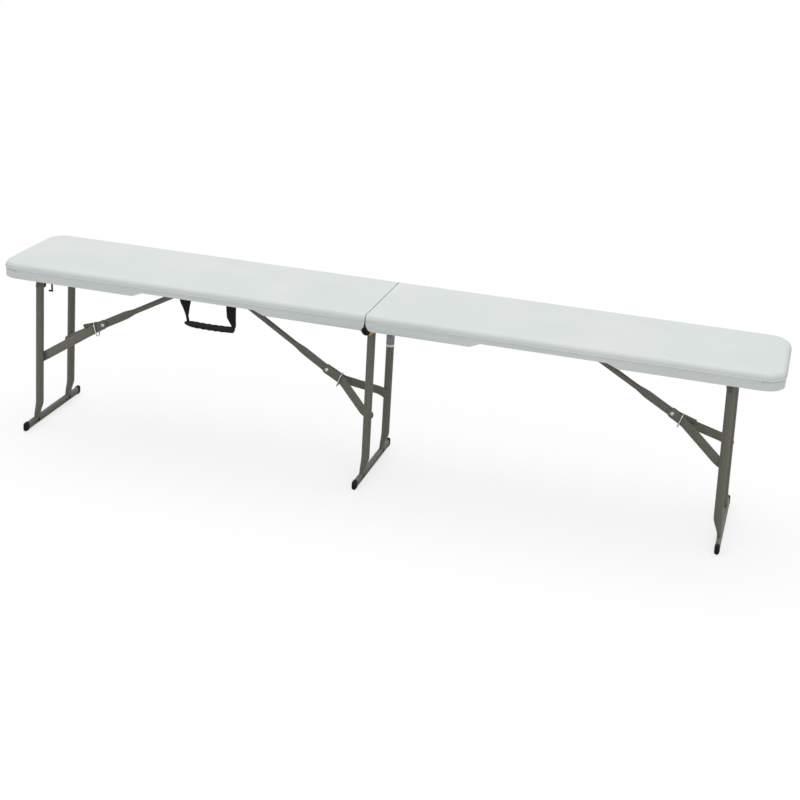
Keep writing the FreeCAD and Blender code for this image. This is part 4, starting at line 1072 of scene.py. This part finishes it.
def rope(path: Array, outward: Array, radius: Array, loop: bool = True, count: int = 12) -> Skin:
    """A round wire or bead along any path.

    Args:
        path: Points of the path.
        outward: A unit vector square to the path at each point.
        radius: Wire radius at each point.
        loop: Whether the path closes on itself.
        count: Points round the wire.

    Returns:
        The closed surface.
    """
    ahead = np.roll(path, -1, axis=0) - np.roll(path, 1, axis=0) if loop else np.gradient(path, axis=0)
    ahead /= np.linalg.norm(ahead, axis=1)[:, None]
    beside = np.cross(ahead, outward)
    turns = corner_turns(count)
    size = np.broadcast_to(radius, len(path))[:, None, None]
    rings = path[:, None, :] + size * (np.cos(turns)[None, :, None] * outward[:, None, :]
                                       + np.sin(turns)[None, :, None] * beside[:, None, :])
    return closed_skin(rings, loop)


def resampled(path: Array, lengths: Array) -> Array:
    """Points of a polyline at given distances from its start."""
    run = np.concatenate([[0], np.cumsum(np.linalg.norm(np.diff(path, axis=0), axis=1))])
    return np.stack([np.interp(lengths, run, path[:, k]) for k in range(path.shape[1])], axis=-1)


def open_tube(radius: float, wall: float, low: float, high: float, axis: Array, origin: Array) -> Skin:
    """A tube with rounded rims whose bore is modelled a short way in at each end.

    Args:
        radius: Outer radius.
        wall: Wall thickness.
        low: Start along the axis.
        high: End along it.
        axis: The tube's direction.
        origin: Where the axis starts.

    Returns:
        The closed surface.
    """
    bore, lip, deep = radius - wall, wall / 2, radius
    rim = [(bore, deep), (bore, lip), (bore + lip / 3, lip / 4), (bore + lip, 0), (radius - lip / 3, lip / 4),
           (radius, lip)]
    profile = [(size, low + depth) for size, depth in rim]
    profile += [(size, high - depth) for size, depth in rim[::-1]]
    return turned(profile, origin, axis)


@dataclass(frozen=True)
class LegFrame:
    """One leg: two uprights with pressed feet, their foot bar's caps, and on an end leg the hinge tube.

    Args:
        name: Which leg.
        foot_side: Side of the uprights that the foot bar is on, as the sign of X.
        lean: Turn of the leg about Y in degrees.
        spacing: Uprights from the middle of the bench.
        radius: Upright and hinge tube.
        wall: Wall of the hinge tube.
        thin: Half thickness of the pressed foot.
        wide: Half width of the pressed foot.
        press: Length of the change from round to flat.
        above: Pressed part above the foot bar's middle.
        below: End of the pressed part below it, so a negative one ends inside the bar's top.
        shift: How far the foot is pressed toward its bar.
        bar_middle: Foot bar's middle above the floor.
        bar_offset: Foot bar's middle from the leg's plane.
        bar_end: Foot bar's end from the middle of the bench.
        cap: Length of a foot cap, its half width and its half height.
        cap_round: Rounding of its end.
        hinge_tube: Half length of the hinge tube.
        bead: Radius of the weld round an upright's top, and the height of its ripples.
        stop_drop: Stop bolt below the hinge.
        rod_reach: A centre upright's top above the rod.
    """

    name: str
    foot_side: int
    lean: float
    spacing: float = 80.5
    radius: float = 9.5
    wall: float = 1.2
    thin: float = 4.5
    wide: float = 11.2
    press: float = 42.0
    above: float = 10.0
    below: float = -7.0
    shift: float = 6.5
    bar_middle: float = 11.0
    bar_offset: float = 7.5
    bar_end: float = 128.5
    cap: tuple[float, float, float] = (14.0, 5.7, 11.3)
    cap_round: float = 5.5
    hinge_tube: float = 117.0
    bead: tuple[float, float] = (1.5, 0.22)
    stop_drop: float = 38.0
    rod_reach: float = 9.5

    @property
    def body(self) -> str:
        """The moving body."""
        return f"{self.name}_leg"

    @property
    def is_end(self) -> bool:
        """Whether it is one of the two end legs."""
        return self.name != "centre"

    @property
    def place(self) -> Place:
        """The leg's own frame, at its hinge."""
        return Place(*hinge_place(f"{self.name}_leg_fold"), self.lean)

    @property
    def reach(self) -> float:
        """The foot bar's middle below the hinge, along the leg."""
        lean = math.radians(abs(self.lean))
        return (self.place.z - self.bar_middle + self.bar_offset * math.sin(lean)) / math.cos(lean)

    def upright(self, side: Side) -> Skin:
        """A tube whose round section passes smoothly into a flat foot, pressed toward its bar.

        Args:
            side: Near or far upright.

        Returns:
            The closed surface.
        """
        flat, end = self.reach - self.above, self.reach + self.below
        top = 0.0 if self.is_end else -self.rod_reach
        depth = np.concatenate([[top, top + 0.7], np.linspace(flat - self.press, flat, 18),
                                toward_end(end, 4.0)])
        share = smooth_step(depth, flat - self.press, flat)
        half_x = self.radius + (self.thin - self.radius) * share
        half_y = self.radius + (self.wide - self.radius) * share - inset(end - depth, 4.0)
        trim = np.zeros_like(depth)
        trim[0] = 0.0 if self.is_end else 0.7
        shifted = self.foot_side * self.shift * share
        centre = np.stack([shifted, np.full_like(depth, side.value * self.spacing)], axis=-1)
        return self.place.put(stacked(-depth, half_x - trim, half_y - trim, half_x - trim, "z", centre))

    def weld(self, side: Side) -> Skin:
        """A rippled bead where an upright meets the hinge tube, along z = -R |sin a| round the upright.

        Args:
            side: Near or far upright.

        Returns:
            The closed surface.
        """
        turns = np.linspace(0, 2 * math.pi, 96, endpoint=False)
        outward = np.stack([np.cos(turns), np.sin(turns), -0.6 * np.ones_like(turns)], axis=-1)
        outward /= np.linalg.norm(outward, axis=1)[:, None]
        path = np.stack([self.radius * np.cos(turns), self.radius * np.sin(turns) + side.value * self.spacing,
                         -self.radius * np.sqrt(np.sin(turns) ** 2 + 0.01)], axis=-1)
        return self.place.put(rope(path, outward, self.bead[0] + self.bead[1] * np.sin(turns * 17)))

    def hinge_piece(self) -> Skin:
        """The hinge tube that joins the uprights of an end leg."""
        return self.place.put(open_tube(self.radius, self.wall, -self.hinge_tube, self.hinge_tube, ACROSS,
                                        np.zeros(3)))

    def foot_cap(self, side: Side) -> Skin:
        """A soft cap with a lip against the bar and a rounded end, flattened where it stands.

        Args:
            side: Near or far end of the bar.

        Returns:
            The closed surface.
        """
        length, half_x, half_z = self.cap
        rim = [0.0, 0.0, 0.35, 1.9, 2.3, 3.0]
        reach = np.concatenate([rim, np.linspace(4.0, 8.0, 3), toward_end(length, self.cap_round, 8)])
        lip = np.array([-0.9, 0.1, 0.35, 0.35, 0.0, -0.25] + [0.0] * (len(reach) - 6))
        draw = inset(length - reach, self.cap_round) - lip
        skin = self.place.put(stacked(side.value * (self.bar_end + reach), half_x - draw, half_z - draw,
                                      half_x - draw, "y", (self.foot_side * self.bar_offset, -self.reach)))
        points = skin.points.copy()
        points[:, 2] = np.maximum(points[:, 2], 0)
        return Skin(points, skin.faces)

    def fasteners(self) -> tuple[list[Skin], list[Skin]]:
        """Dark hollow foot rivets and, on an end leg, painted stop bolts with a washer and a nut.

        Returns:
            The foot rivets, and the stop bolts with their washers and nuts.
        """
        feet, bolts = [], []
        for side in Side:
            y = side.value * self.spacing
            near = self.foot_side * (self.bar_offset - 5.5)
            rim = [(0.05, -1.6), (2.7, -1.6), (2.9, 0.1), (4.4, 0.55), (4.9, 0.3), (5.0, -0.2)]
            feet.append(turned(rim, (near, y, -self.reach), (-self.foot_side, 0, 0), 32))
            if self.is_end:
                out = np.array([0, side.value, 0.0])
                face = np.array([0, y, -self.stop_drop])
                bolts.append(recessed_head(face + out * self.radius, out, 6.0, 3.0, 15.0 + 50 * side.value))
                washer = [(3.0, 0), (10.7, 0), (11.1, 0.4), (11.1, 1.1), (10.7, 1.5), (3.0, 1.5)]
                bolts.append(turned(washer, face - out * self.radius, -out, 40))
                nut = [(2.0, 1.5), (5.2, 1.5), (5.7, 1.9), (5.7, 4.2), (5.2, 4.6), (2.0, 4.6)]
                bolts.append(turned(nut, face - out * self.radius, -out, 6))
        return [self.place.put(skin) for skin in feet], [self.place.put(skin) for skin in bolts]

    def build(self) -> None:
        """Makes the leg's pieces."""
        feet, bolts = self.fasteners()
        for side in Side:
            make_piece(f"upright_{self.name}_{side.word}", [self.upright(side)], Slot.PAINT, self.body,
                       [f"upright_{self.name}_{side.word}"])
        if self.is_end:
            make_piece(f"hinge_tube_{self.name}", [self.hinge_piece()], Slot.PAINT, self.body,
                       [f"cross_tube_{self.name}"])
            make_piece(f"welds_{self.name}", [self.weld(side) for side in Side], Slot.PAINT, self.body)
        make_piece(f"foot_caps_{self.name}_soft", [self.foot_cap(side) for side in Side], Slot.BLACK,
                   self.body, [f"foot_caps_{self.name}"])
        make_piece(f"foot_rivets_{self.name}", feet, Slot.STEEL, self.body, [f"leg_fasteners_{self.name}"],
                   Slot.BLACK.value, 25.0)
        if self.is_end:
            make_piece(f"stop_bolts_{self.name}", bolts, Slot.STEEL, self.body, finish=Slot.PAINT.value,
                       crease=25.0)


@dataclass(frozen=True)
class Brace:
    """A folding brace: a pressed tube from the seat, two bent straps, rivets and a wire lock ring.

    Args:
        leg: The leg that it holds.
        side: The pivot's side of the leg, as the sign of X.
        arm_drop: Arms' ends below the leg's hinge.
        parallel: Straps side by side beyond the knee.
        ring_half: Inside of the ring, half of its height.
        ring_rest: Ring beyond the knee.
        ring_drop: How far the ring hangs below the tube's line.
        tail_lift: How far the tail's end stands above that line.
        radius: Tube.
        thin: Half thickness of its pressed part.
        wide: Half width of its pressed part.
        above: Pressed part before the knee.
        press: Length of the change from round to flat.
        tail: Tube beyond the knee.
        top: Tube beyond its pivot.
        strap: Half width and half thickness of a strap.
        strap_gap: Play between a strap and the tube.
        far_face: Middle of a strap's far end from the middle of the bench.
        end_pad: Straight end of a strap beside its upright.
        wire: Radius of the ring's wire.
        ring_width: Inside of the ring, half of its width.
        ring_tilt: How far the ring hangs from square, in degrees.
    """

    leg: LegFrame
    side: int
    arm_drop: float
    parallel: float
    ring_half: float
    ring_rest: float
    ring_drop: float
    tail_lift: float
    radius: float = 6.5
    thin: float = 2.0
    wide: float = 10.0
    above: float = 65.0
    press: float = 36.0
    tail: float = 53.0
    top: float = 5.0
    strap: tuple[float, float] = (11.0, 1.25)
    strap_gap: float = 0.3
    far_face: float = 69.35
    end_pad: float = 16.0
    wire: float = 1.6
    ring_width: float = 7.6
    ring_tilt: float = 13.0

    @property
    def name(self) -> str:
        """Which brace."""
        return self.leg.name

    @property
    def pivot(self) -> Array:
        """Where it turns under the seat."""
        return np.array(hinge_place(f"{self.name}_brace_swing"))

    @property
    def knee(self) -> Array:
        """Where its tube and its straps meet."""
        return np.array(hinge_place(f"{self.name}_knee_bend"))

    @property
    def foot(self) -> Array:
        """Where its straps meet the uprights."""
        return self.leg.place.points(np.array([[0, 0, -self.arm_drop]]))[0][[0, 2]]

    @staticmethod
    def frame_between(start: Array, stop: Array) -> tuple[Place, float]:
        """A frame at a point whose downward axis looks at another point, and their distance."""
        run = stop - start
        return Place(start[0], start[1], math.degrees(math.atan2(-run[0], -run[1]))), float(np.hypot(*run))

    def tube(self) -> Skin:
        """The brace tube, pressed flat from above the knee to its square tail.

        Returns:
            The closed surface.
        """
        place, reach = self.frame_between(self.pivot, self.knee)
        flat, end = reach - self.above, reach + self.tail
        depth = np.concatenate([[-self.top, -self.top + 0.8], np.linspace(flat - self.press, flat, 18),
                                np.linspace(reach - 8, end - 3, 8), toward_end(end, 2.0, 6)])
        share = smooth_step(depth, flat - self.press, flat)
        half_x = self.radius + (self.wide - self.radius) * share - inset(end - depth, 2.0)
        half_y = self.radius + (self.thin - self.radius) * share
        trim = np.where(depth <= -self.top, 0.8, 0.0)
        lift = -self.side * self.tail_lift * np.clip((depth - reach) / self.tail, 0, 1)
        centre = np.stack([lift, np.zeros_like(depth)], axis=-1)
        return place.put(stacked(-depth, half_x - trim, half_y - trim, half_y - trim, "z", centre))

    def strap_arm(self, side: Side) -> Skin:
        """A flat strap with round ends: beside the tube at the knee, then bent outward to its upright.

        Args:
            side: Near or far strap.

        Returns:
            The closed surface.
        """
        place, reach = self.frame_between(self.knee, self.foot)
        half_width, half_thick = self.strap
        near = self.thin + self.strap_gap + half_thick
        stops = [(near, half_width), (near, -self.parallel), (self.far_face, self.end_pad - reach),
                 (self.far_face, -reach - half_width)]
        bends = softened(stops, 9.0, 8)
        path = np.stack([np.zeros(len(bends)), side.value * bends[:, 0], bends[:, 1]], axis=-1)
        total = float(np.linalg.norm(np.diff(path, axis=0), axis=1).sum())
        ends = half_width * (1 - np.cos(np.linspace(0, math.pi / 2, 9)))
        middle = np.linspace(half_width, total - half_width, 60)[1:-1]
        lengths = np.concatenate([ends, middle, (total - ends)[::-1]])
        reach_in = np.minimum(np.minimum(lengths, total - lengths), half_width)
        half_u = np.maximum(np.sqrt(half_width ** 2 - (half_width - reach_in) ** 2), 0.5)
        sections = boxy_rings(half_u, np.full_like(half_u, half_thick), np.full_like(half_u, 0.55), 16)
        return place.put(carried(resampled(path, lengths), ALONG, sections))

    def rivets(self) -> tuple[list[Skin], list[Skin]]:
        """Hollow-ended rivets: one through the knee and one at each strap's end.

        Returns:
            The knee's rivets, and the rivets at the straps' ends.
        """
        place, reach = self.frame_between(self.knee, self.foot)
        hollow = [(0.05, -1.4), (1.7, -1.4), (1.9, 1.3), (2.4, 1.9), (3.1, 2.1), (4.1, 1.6), (4.7, 0.9),
                  (4.9, 0.0)]
        domed = [(0.05, 2.0), (1.6, 1.9), (3.2, 1.6), (4.7, 0.9), (5.5, 0.0)]
        face = self.thin + self.strap_gap + 2 * self.strap[1]
        knee = [turned(hollow, (0, side.value * face, 0), (0, side.value, 0), 40) for side in Side]
        inner = self.far_face - self.strap[1]
        ends = [turned(domed, (0, side.value * inner, -reach), (0, -side.value, 0), 32) for side in Side]
        return [place.put(skin) for skin in knee], [place.put(skin) for skin in ends]

    def ring(self) -> Skin:
        """The wire ring: two straights and two half circles, with the swelling of its weld.

        Returns:
            The closed surface.
        """
        place, reach = self.frame_between(self.pivot, self.knee)
        bend = self.ring_width + self.wire
        straight = self.ring_half - self.ring_width
        arc = np.linspace(-math.pi / 2, math.pi / 2, 17)
        right = np.stack([straight + bend * np.cos(arc), bend * np.sin(arc)], axis=-1)
        side_run = np.linspace(1, -1, 12)[1:-1, None] * np.array([[straight, 0.0]]) + np.array([[0, bend]])
        half = np.concatenate([right, side_run])
        flat = np.concatenate([half, -half])
        corner = np.stack([np.clip(flat[:, 0], -straight, straight), np.zeros(len(flat))], axis=-1)
        outward = np.concatenate([(flat - corner) / bend, np.zeros((len(flat), 1))], axis=-1)
        path = np.concatenate([flat, np.zeros((len(flat), 1))], axis=-1)
        bump = np.exp(-((flat[:, 0] / 1.6) ** 2)) * (flat[:, 1] > 0)
        middle = place.points(np.array([[self.side * self.ring_drop, 0, -reach - self.ring_rest]]))[0]
        hung = Place(middle[0], middle[2], place.turn + self.side * self.ring_tilt)
        return hung.put(rope(path, outward, self.wire * (1 + 0.22 * bump)))

    def build(self) -> None:
        """Makes the brace's pieces."""
        make_piece(f"brace_{self.name}", [self.tube()], Slot.PAINT, f"{self.name}_brace_tube",
                   [f"brace_tube_{self.name}"])
        for side in Side:
            make_piece(f"strap_{self.name}_{side.word}", [self.strap_arm(side)], Slot.PAINT,
                       f"{self.name}_brace_arms", [f"brace_arm_{self.name}_{side.word}"])
        knee, ends = self.rivets()
        make_piece(f"knee_rivets_{self.name}", knee, Slot.STEEL, f"{self.name}_brace_arms",
                   [f"brace_rivets_{self.name}"], Slot.CHROME.value)
        make_piece(f"end_rivets_{self.name}", ends, Slot.STEEL, f"{self.name}_brace_arms",
                   finish=Slot.PAINT.value)
        make_piece(f"ring_{self.name}", [self.ring()], Slot.CHROME, f"{self.name}_lock_ring",
                   [f"lock_ring_{self.name}"])


@dataclass(frozen=True)
class SeatTrim:
    """The seat halves: their drafted shells, the moulding line round them and the screws under them.

    Args:
        half_length: Seat end from the fold.
        gap: A half's own end from the fold.
        half_width: Long side from the middle.
        corner: Corner radius.
        level: Height of the line.
        bead: Radius of the line.
        outset: Middle of the bead outside the skirt.
        draft: How far a skirt's lower edge stands back from the fold.
        fade_run: Length over which the draft fades.
        crease: Angle in degrees above which an edge of the shell stays sharp.
    """

    half_length: float = 915.0
    gap: float = 1.6
    half_width: float = 139.0
    corner: float = 48.0
    level: float = LINE_LEVEL
    bead: float = 1.15
    outset: float = 0.55
    draft: float = 3.2
    fade_run: float = 12.0
    crease: float = 28.0

    def line(self, side: int) -> Skin:
        """A fine bead along three sides: x, y follow straights and quarter circles of the corner radius.

        Args:
            side: Sign of X of the half.

        Returns:
            The closed surface.
        """
        reach = self.half_length - self.corner + self.outset
        wide = self.half_width - self.corner + self.outset
        turns = np.linspace(-math.pi / 2, 0, 13)
        arc = np.stack([reach + self.corner * np.cos(turns), -wide + self.corner * np.sin(turns)], axis=-1)
        run = np.linspace(self.gap, reach, 40)[:-1, None]
        near = np.concatenate([run, np.full_like(run, -wide - self.corner)], axis=1)
        half = np.concatenate([near, arc, [[reach + self.corner, 0.0]]])
        flat = np.concatenate([half, half[-2::-1] * (1, -1)]) * (side, 1)
        path = np.column_stack([flat, np.full(len(flat), self.level)])
        outward = np.tile([0.0, 0.0, 1.0], (len(path), 1))
        ends = np.minimum(np.arange(len(path)), np.arange(len(path))[::-1])
        return rope(path, outward, self.bead * np.clip(0.2 + 0.4 * ends, 0, 1), False, 8)

    def drafted_half(self, word: str, side: int) -> None:
        """The seat half's own surface with its skirts drawn back a little toward the fold.

        Below the line a point moves away from the fold by draft * (level - z) / skirt, fading over fade_run.

        Args:
            word: Name of the half.
            side: Sign of X of the half.
        """
        mesh = frame["nodes"][f"seat_panel_{word}"].data.copy()
        shell = bmesh.new()
        shell.from_mesh(mesh)
        bmesh.ops.remove_doubles(shell, verts=shell.verts, dist=1e-6)
        shell.to_mesh(mesh)
        shell.free()
        points = np.empty(len(mesh.vertices) * 3, np.float32)
        mesh.vertices.foreach_get("co", points)
        points = points.reshape(-1, 3).astype(float) / METRE
        away = np.clip(1 - (np.abs(points[:, 0]) - 1) / self.fade_run, 0, 1)
        points[:, 0] += side * self.draft * np.clip((self.level - points[:, 2]) / SKIRT, 0, 1) * away
        mesh.vertices.foreach_set("co", (points * METRE).astype(np.float32).ravel())
        mesh.polygons.foreach_set("use_smooth", np.ones(len(mesh.polygons), bool))
        mesh.set_sharp_from_angle(angle=math.radians(self.crease))
        mesh.materials.clear()
        mesh.materials.append(finish_for(Slot.SEAT.value))
        half = bpy.data.objects.new(f"seat_half_{word}", mesh)
        bpy.context.scene.collection.objects.link(half)
        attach(half, f"{word}_half")
        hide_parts(f"seat_panel_{word}")
        LOG.info("%s: %d faces on %s_half", half.name, len(mesh.polygons), word)

    @staticmethod
    def screws(side: int) -> list[Skin]:
        """Cross-recessed heads that look down: on the hinge plates, the saddles and the brace brackets.

        Args:
            side: Sign of X of the half.

        Returns:
            One surface for each head.
        """
        plate, saddle, bracket = (119.8 if side < 0 else 116.8), 105.0, 22.0
        plate_level, saddle_level, bracket_level = 412.9, 410.9, 413.4
        saddle_x, bracket_x = ((856.2, 817.8), (432.1, 411.6)) if side < 0 else ((784.8, 823.2), (420.7,))
        rows = [(x, plate, plate_level) for x in (54.0, 26.0)]
        rows += [(x, saddle, saddle_level) for x in saddle_x]
        rows += [(x, bracket, bracket_level) for x in bracket_x]
        return [recessed_head((side * x, row * y, level), (0, 0, -1), 4.0, 2.2, 17.0 * k + 30 * row)
                for k, (x, y, level) in enumerate(rows) for row in (-1, 1)]

    def build(self) -> None:
        """Makes the shell, the line and the screws of both halves."""
        for word, side in (("left", -1), ("right", 1)):
            self.drafted_half(word, side)
            make_piece(f"seat_line_{word}", [self.line(side)], Slot.SEAT, f"{word}_half")
            make_piece(f"seat_screw_heads_{word}", self.screws(side), Slot.STEEL, f"{word}_half",
                       [f"seat_screws_{word}"], crease=25.0)


@dataclass(frozen=True)
class CarryHandle:
    """Two webbing straps sewn under the seat's near edge and a padded grip between them.

    Args:
        face: Middle of the straps from the middle of the bench.
        top: Where the straps leave the seat.
        grip: Ends of the grip.
        middle: Grip's middle above the floor.
        sag: How far the grip hangs in its middle.
        grip_half: Grip's half depth and half height.
        ribs: Finger ribs.
        rib: Height of a rib.
        seam_drops: The two sewn rows below the straps' top.
        seam_half: Half length of a sewn row.
        stitch: Pitch of the stitches.
        thread: Radius of the thread.
    """

    face: float = -131.6
    top: float = 402.9
    grip: tuple[float, float] = (-437.8, -313.8)
    middle: float = 345.6
    sag: float = 2.2
    grip_half: tuple[float, float] = (6.4, 7.6)
    ribs: int = 5
    rib: float = 0.55
    seam_drops: tuple[float, float] = (10.5, 13.5)
    seam_half: float = 11.0
    stitch: float = 2.9
    thread: float = 0.28

    def strap(self, edges: Sequence[tuple[float, float, float]]) -> Skin:
        """A strap whose edges follow measured places and which thickens where it is folded together.

        Between rows both edges run straight, and the half thickness is 0.75 + 4.2 (1 - w / w0)^2 for width w.

        Args:
            edges: Rows of height, left edge and right edge, from the top down.

        Returns:
            The closed surface with strap coordinates.
        """
        rows = np.array(edges, float)
        level = np.linspace(rows[0, 0], rows[-1, 0], 40)
        left, right = (np.interp(-level, -rows[:, 0], rows[:, k]) for k in (1, 2))
        width = right - left
        thick = 0.75 + 4.2 * (1 - width / width[0]) ** 2
        centre = np.stack([(left + right) / 2, np.full_like(level, self.face)], axis=-1)
        skin = stacked(level, width / 2, thick, np.minimum(thick, 0.7), "z", centre, 24)
        across = (skin.points[:, 0] - np.repeat(centre[:, 0], 24)) / np.repeat(width / width[0], 24)
        return Skin(skin.points, skin.faces, np.stack([across, skin.points[:, 2]], axis=-1))

    def stitches(self, middle: float) -> list[Skin]:
        """Two rows of short threads across a strap, below what meets the skirt when the handle swings out.

        Args:
            middle: Middle of the strap along the bench.

        Returns:
            One surface for each thread.
        """
        made = []
        for drop in self.seam_drops:
            level = self.top - drop
            for x in np.arange(middle - self.seam_half, middle + self.seam_half + 0.5, self.stitch):
                path = np.array([[x, self.face - 0.6, level], [x + 0.5, self.face - 1.0, level],
                                 [x + 1.3, self.face - 1.0, level], [x + 1.8, self.face - 0.6, level]])
                made.append(rope(path, np.tile([0.0, 0.0, 1.0], (4, 1)), self.thread, False, 6))
        return made

    def sleeve(self) -> Skin:
        """The grip, with a point at its left end, a squared right end and finger ribs.

        The ribs' ripple is rib * cos(2 pi n t) over the middle, and the line sags as sag * (1 - (2 t - 1)^2).

        Returns:
            The closed surface.
        """
        share = np.concatenate([[0.0, 0.004, 0.015], np.linspace(0.03, 0.97, 110), [0.985, 0.996, 1.0]])
        place = self.grip[0] + (self.grip[1] - self.grip[0]) * share
        point = np.sqrt(np.clip(share / 0.16, 0, 1))
        square = np.sqrt(np.clip(1 - np.clip((share - 0.97) / 0.03, 0, 1) ** 2, 0.25, 1))
        ribbed = smooth_step(share, 0.14, 0.24) * (1 - smooth_step(share, 0.78, 0.88))
        ripple = self.rib * np.cos(2 * math.pi * self.ribs * (share - 0.5) / 0.62) * ribbed
        half_depth, half_height = self.grip_half
        half = (half_height * (0.22 + 0.78 * point) + ripple) * square
        turns = corner_turns(32)
        rise = self.middle - self.sag * (1 - (2 * share - 1) ** 2)
        rings = np.stack([np.broadcast_to(place[:, None], (len(share), 32)),
                          self.face + np.minimum(half, half_depth)[:, None] * np.cos(turns),
                          rise[:, None] + half[:, None] * np.sin(turns)], axis=-1)
        return closed_skin(rings)

    def build(self) -> None:
        """Makes the handle's pieces."""
        left = [(self.top, -451.0, -420.9), (392.0, -447.6, -423.6), (381.0, -441.2, -425.7),
                (367.0, -434.6, -428.2), (364.0, -433.4, -429.4), (352.0, -431.2, -427.2),
                (346.0, -431.5, -426.5)]
        right = [(self.top, -334.9, -310.2), (388.0, -334.0, -310.3), (373.2, -332.7, -310.3),
                 (354.4, -320.6, -310.2), (347.0, -319.8, -313.4)]
        for word, rows, middle in (("left", left, -434.8), ("right", right, -322.5)):
            make_piece(f"strap_{word}_webbing", [self.strap(rows)], Slot.WEBBING, "carry_handle",
                       [f"handle_strap_{word}"])
            make_piece(f"strap_{word}_stitching", self.stitches(middle), Slot.WEBBING, "carry_handle",
                       finish=Slot.BLACK.value)
        grip = make_piece("grip_padding", [self.sleeve()], Slot.WEBBING, "carry_handle", ["handle_grip"],
                          "grip_sleeve")


@dataclass(frozen=True)
class FoldHinge:
    """Black domed caps on the fold rod's ends, black flanged discs over them and dark strips in the gap; the
    discs and the strips are painted shade.

    Args:
        inner: Cap's inner face from the middle of the bench.
        outer: Its outer face.
        radius: Its radius.
        level: Rod's height.
        plate_face: Outer face of the plates.
        flange: Radius of a bush's flange.
        strip_place: Middle of an edge strip from the middle of the bench.
        strip_depth: Half of its depth behind the skirt.
        strip_top: Its top.
        strip_foot: Its foot.
        strip_thick: Its half thickness above the moulding line and how much that grows to the skirt's edge.
    """

    inner: float = 113.6
    outer: float = 121.5
    radius: float = 6.2
    level: float = 389.0
    plate_face: float = 126.3
    flange: float = 10.3
    strip_place: float = 134.0
    strip_depth: float = 3.3
    strip_top: float = 422.0
    strip_foot: float = 395.0
    strip_thick: tuple[float, float] = (0.75, 2.3)

    def cap(self, side: Side) -> Skin:
        """A push-on cap: a rounded rim, a shallow dish and a button in its middle.

        Args:
            side: Near or far end of the rod.

        Returns:
            The closed surface.
        """
        depth = self.outer - self.inner
        rim = [(5.05, 0.0), (5.9, 0.0), (self.radius, 0.4), (self.radius, depth - 1.6), (5.7, depth - 0.5)]
        dish = [(4.8, depth), (3.6, depth - 0.1), (3.0, depth - 0.6), (1.9, depth - 0.6), (1.5, depth - 0.1),
                (0.05, depth)]
        profile = rim + dish
        return turned(profile, (0, side.value * self.inner, self.level), (0, side.value, 0), 40)

    def shade_disc(self, side: Side) -> Skin:
        """A black flanged disc that closes the rod's end, a little smaller than the plates' round noses; its
        black is painted shade for the dark inside the plates' open ends.

        Args:
            side: Near or far end of the rod.

        Returns:
            The closed surface.
        """
        profile = [(6.0, -1.5), (6.0, 0.05), (self.flange, 0.05), (self.flange, 0.5),
                   (self.flange - 0.5, 0.9), (6.8, 0.6), (6.2, 1.0), (5.6, 2.0), (4.6, 2.5), (0.05, 2.7)]
        return turned(profile, (0, side.value * self.plate_face, self.level), (0, side.value, 0), 48)

    def shade_strip(self, side: Side) -> Skin:
        """A dark piece in the gap that stands for its shade, painted shade: half thickness thin + spread * t,
        with t from 0 at the line to 1 below.

        Args:
            side: Near or far skirt.

        Returns:
            The closed surface.
        """
        level = np.linspace(self.strip_top, self.strip_foot, 24)
        thin, spread = self.strip_thick
        thick = thin + spread * np.clip((LINE_LEVEL - level) / SKIRT, 0, 1)
        centre = (0, side.value * self.strip_place)
        return stacked(level, thick, self.strip_depth, np.full_like(thick, 0.5), "z", centre)

    def build(self) -> None:
        """Makes the caps, and the flanged discs and dark strips that are painted shade."""
        # Painted shade: dark strips in the fold's gap, where the halves' skirts part.
        make_piece("fold_shade_strips", [self.shade_strip(side) for side in Side], Slot.BLACK, "left_half")
        make_piece("rod_caps_domed", [self.cap(side) for side in Side], Slot.BLACK, "left_half",
                   ["rod_end_caps"])
        # Painted shade: black discs over the rod's ends stand in for the dark inside the plates' open ends.
        make_piece("rod_shade_discs", [self.shade_disc(side) for side in Side], Slot.BLACK, "left_half")


def main() -> None:
    """Builds the studio and the bench, and reports each piece."""
    logging.basicConfig(level=logging.INFO, format="%(message)s")
    Studio().build()
    dress_nodes()
    left = LegFrame("left", foot_side=-1, lean=2.3)
    centre = LegFrame("centre", foot_side=-1, lean=0.0)
    right = LegFrame("right", foot_side=1, lean=-2.3)
    for leg in (left, centre, right):
        leg.build()
    braces = (Brace(left, side=1, arm_drop=229.0, parallel=32.0, ring_half=15.9, ring_rest=23.3,
                    ring_drop=3.55, tail_lift=10.0),
              Brace(centre, side=-1, arm_drop=224.5, parallel=43.0, ring_half=16.7, ring_rest=39.0,
                    ring_drop=1.0, tail_lift=2.0),
              Brace(right, side=-1, arm_drop=221.0, parallel=32.0, ring_half=15.6, ring_rest=23.8,
                    ring_drop=2.55, tail_lift=11.0))
    for brace in braces:
        brace.build()
    for assembly in (SeatTrim(), CarryHandle(), FoldHinge()):
        assembly.build()


if __name__ == "__main__":
    main()
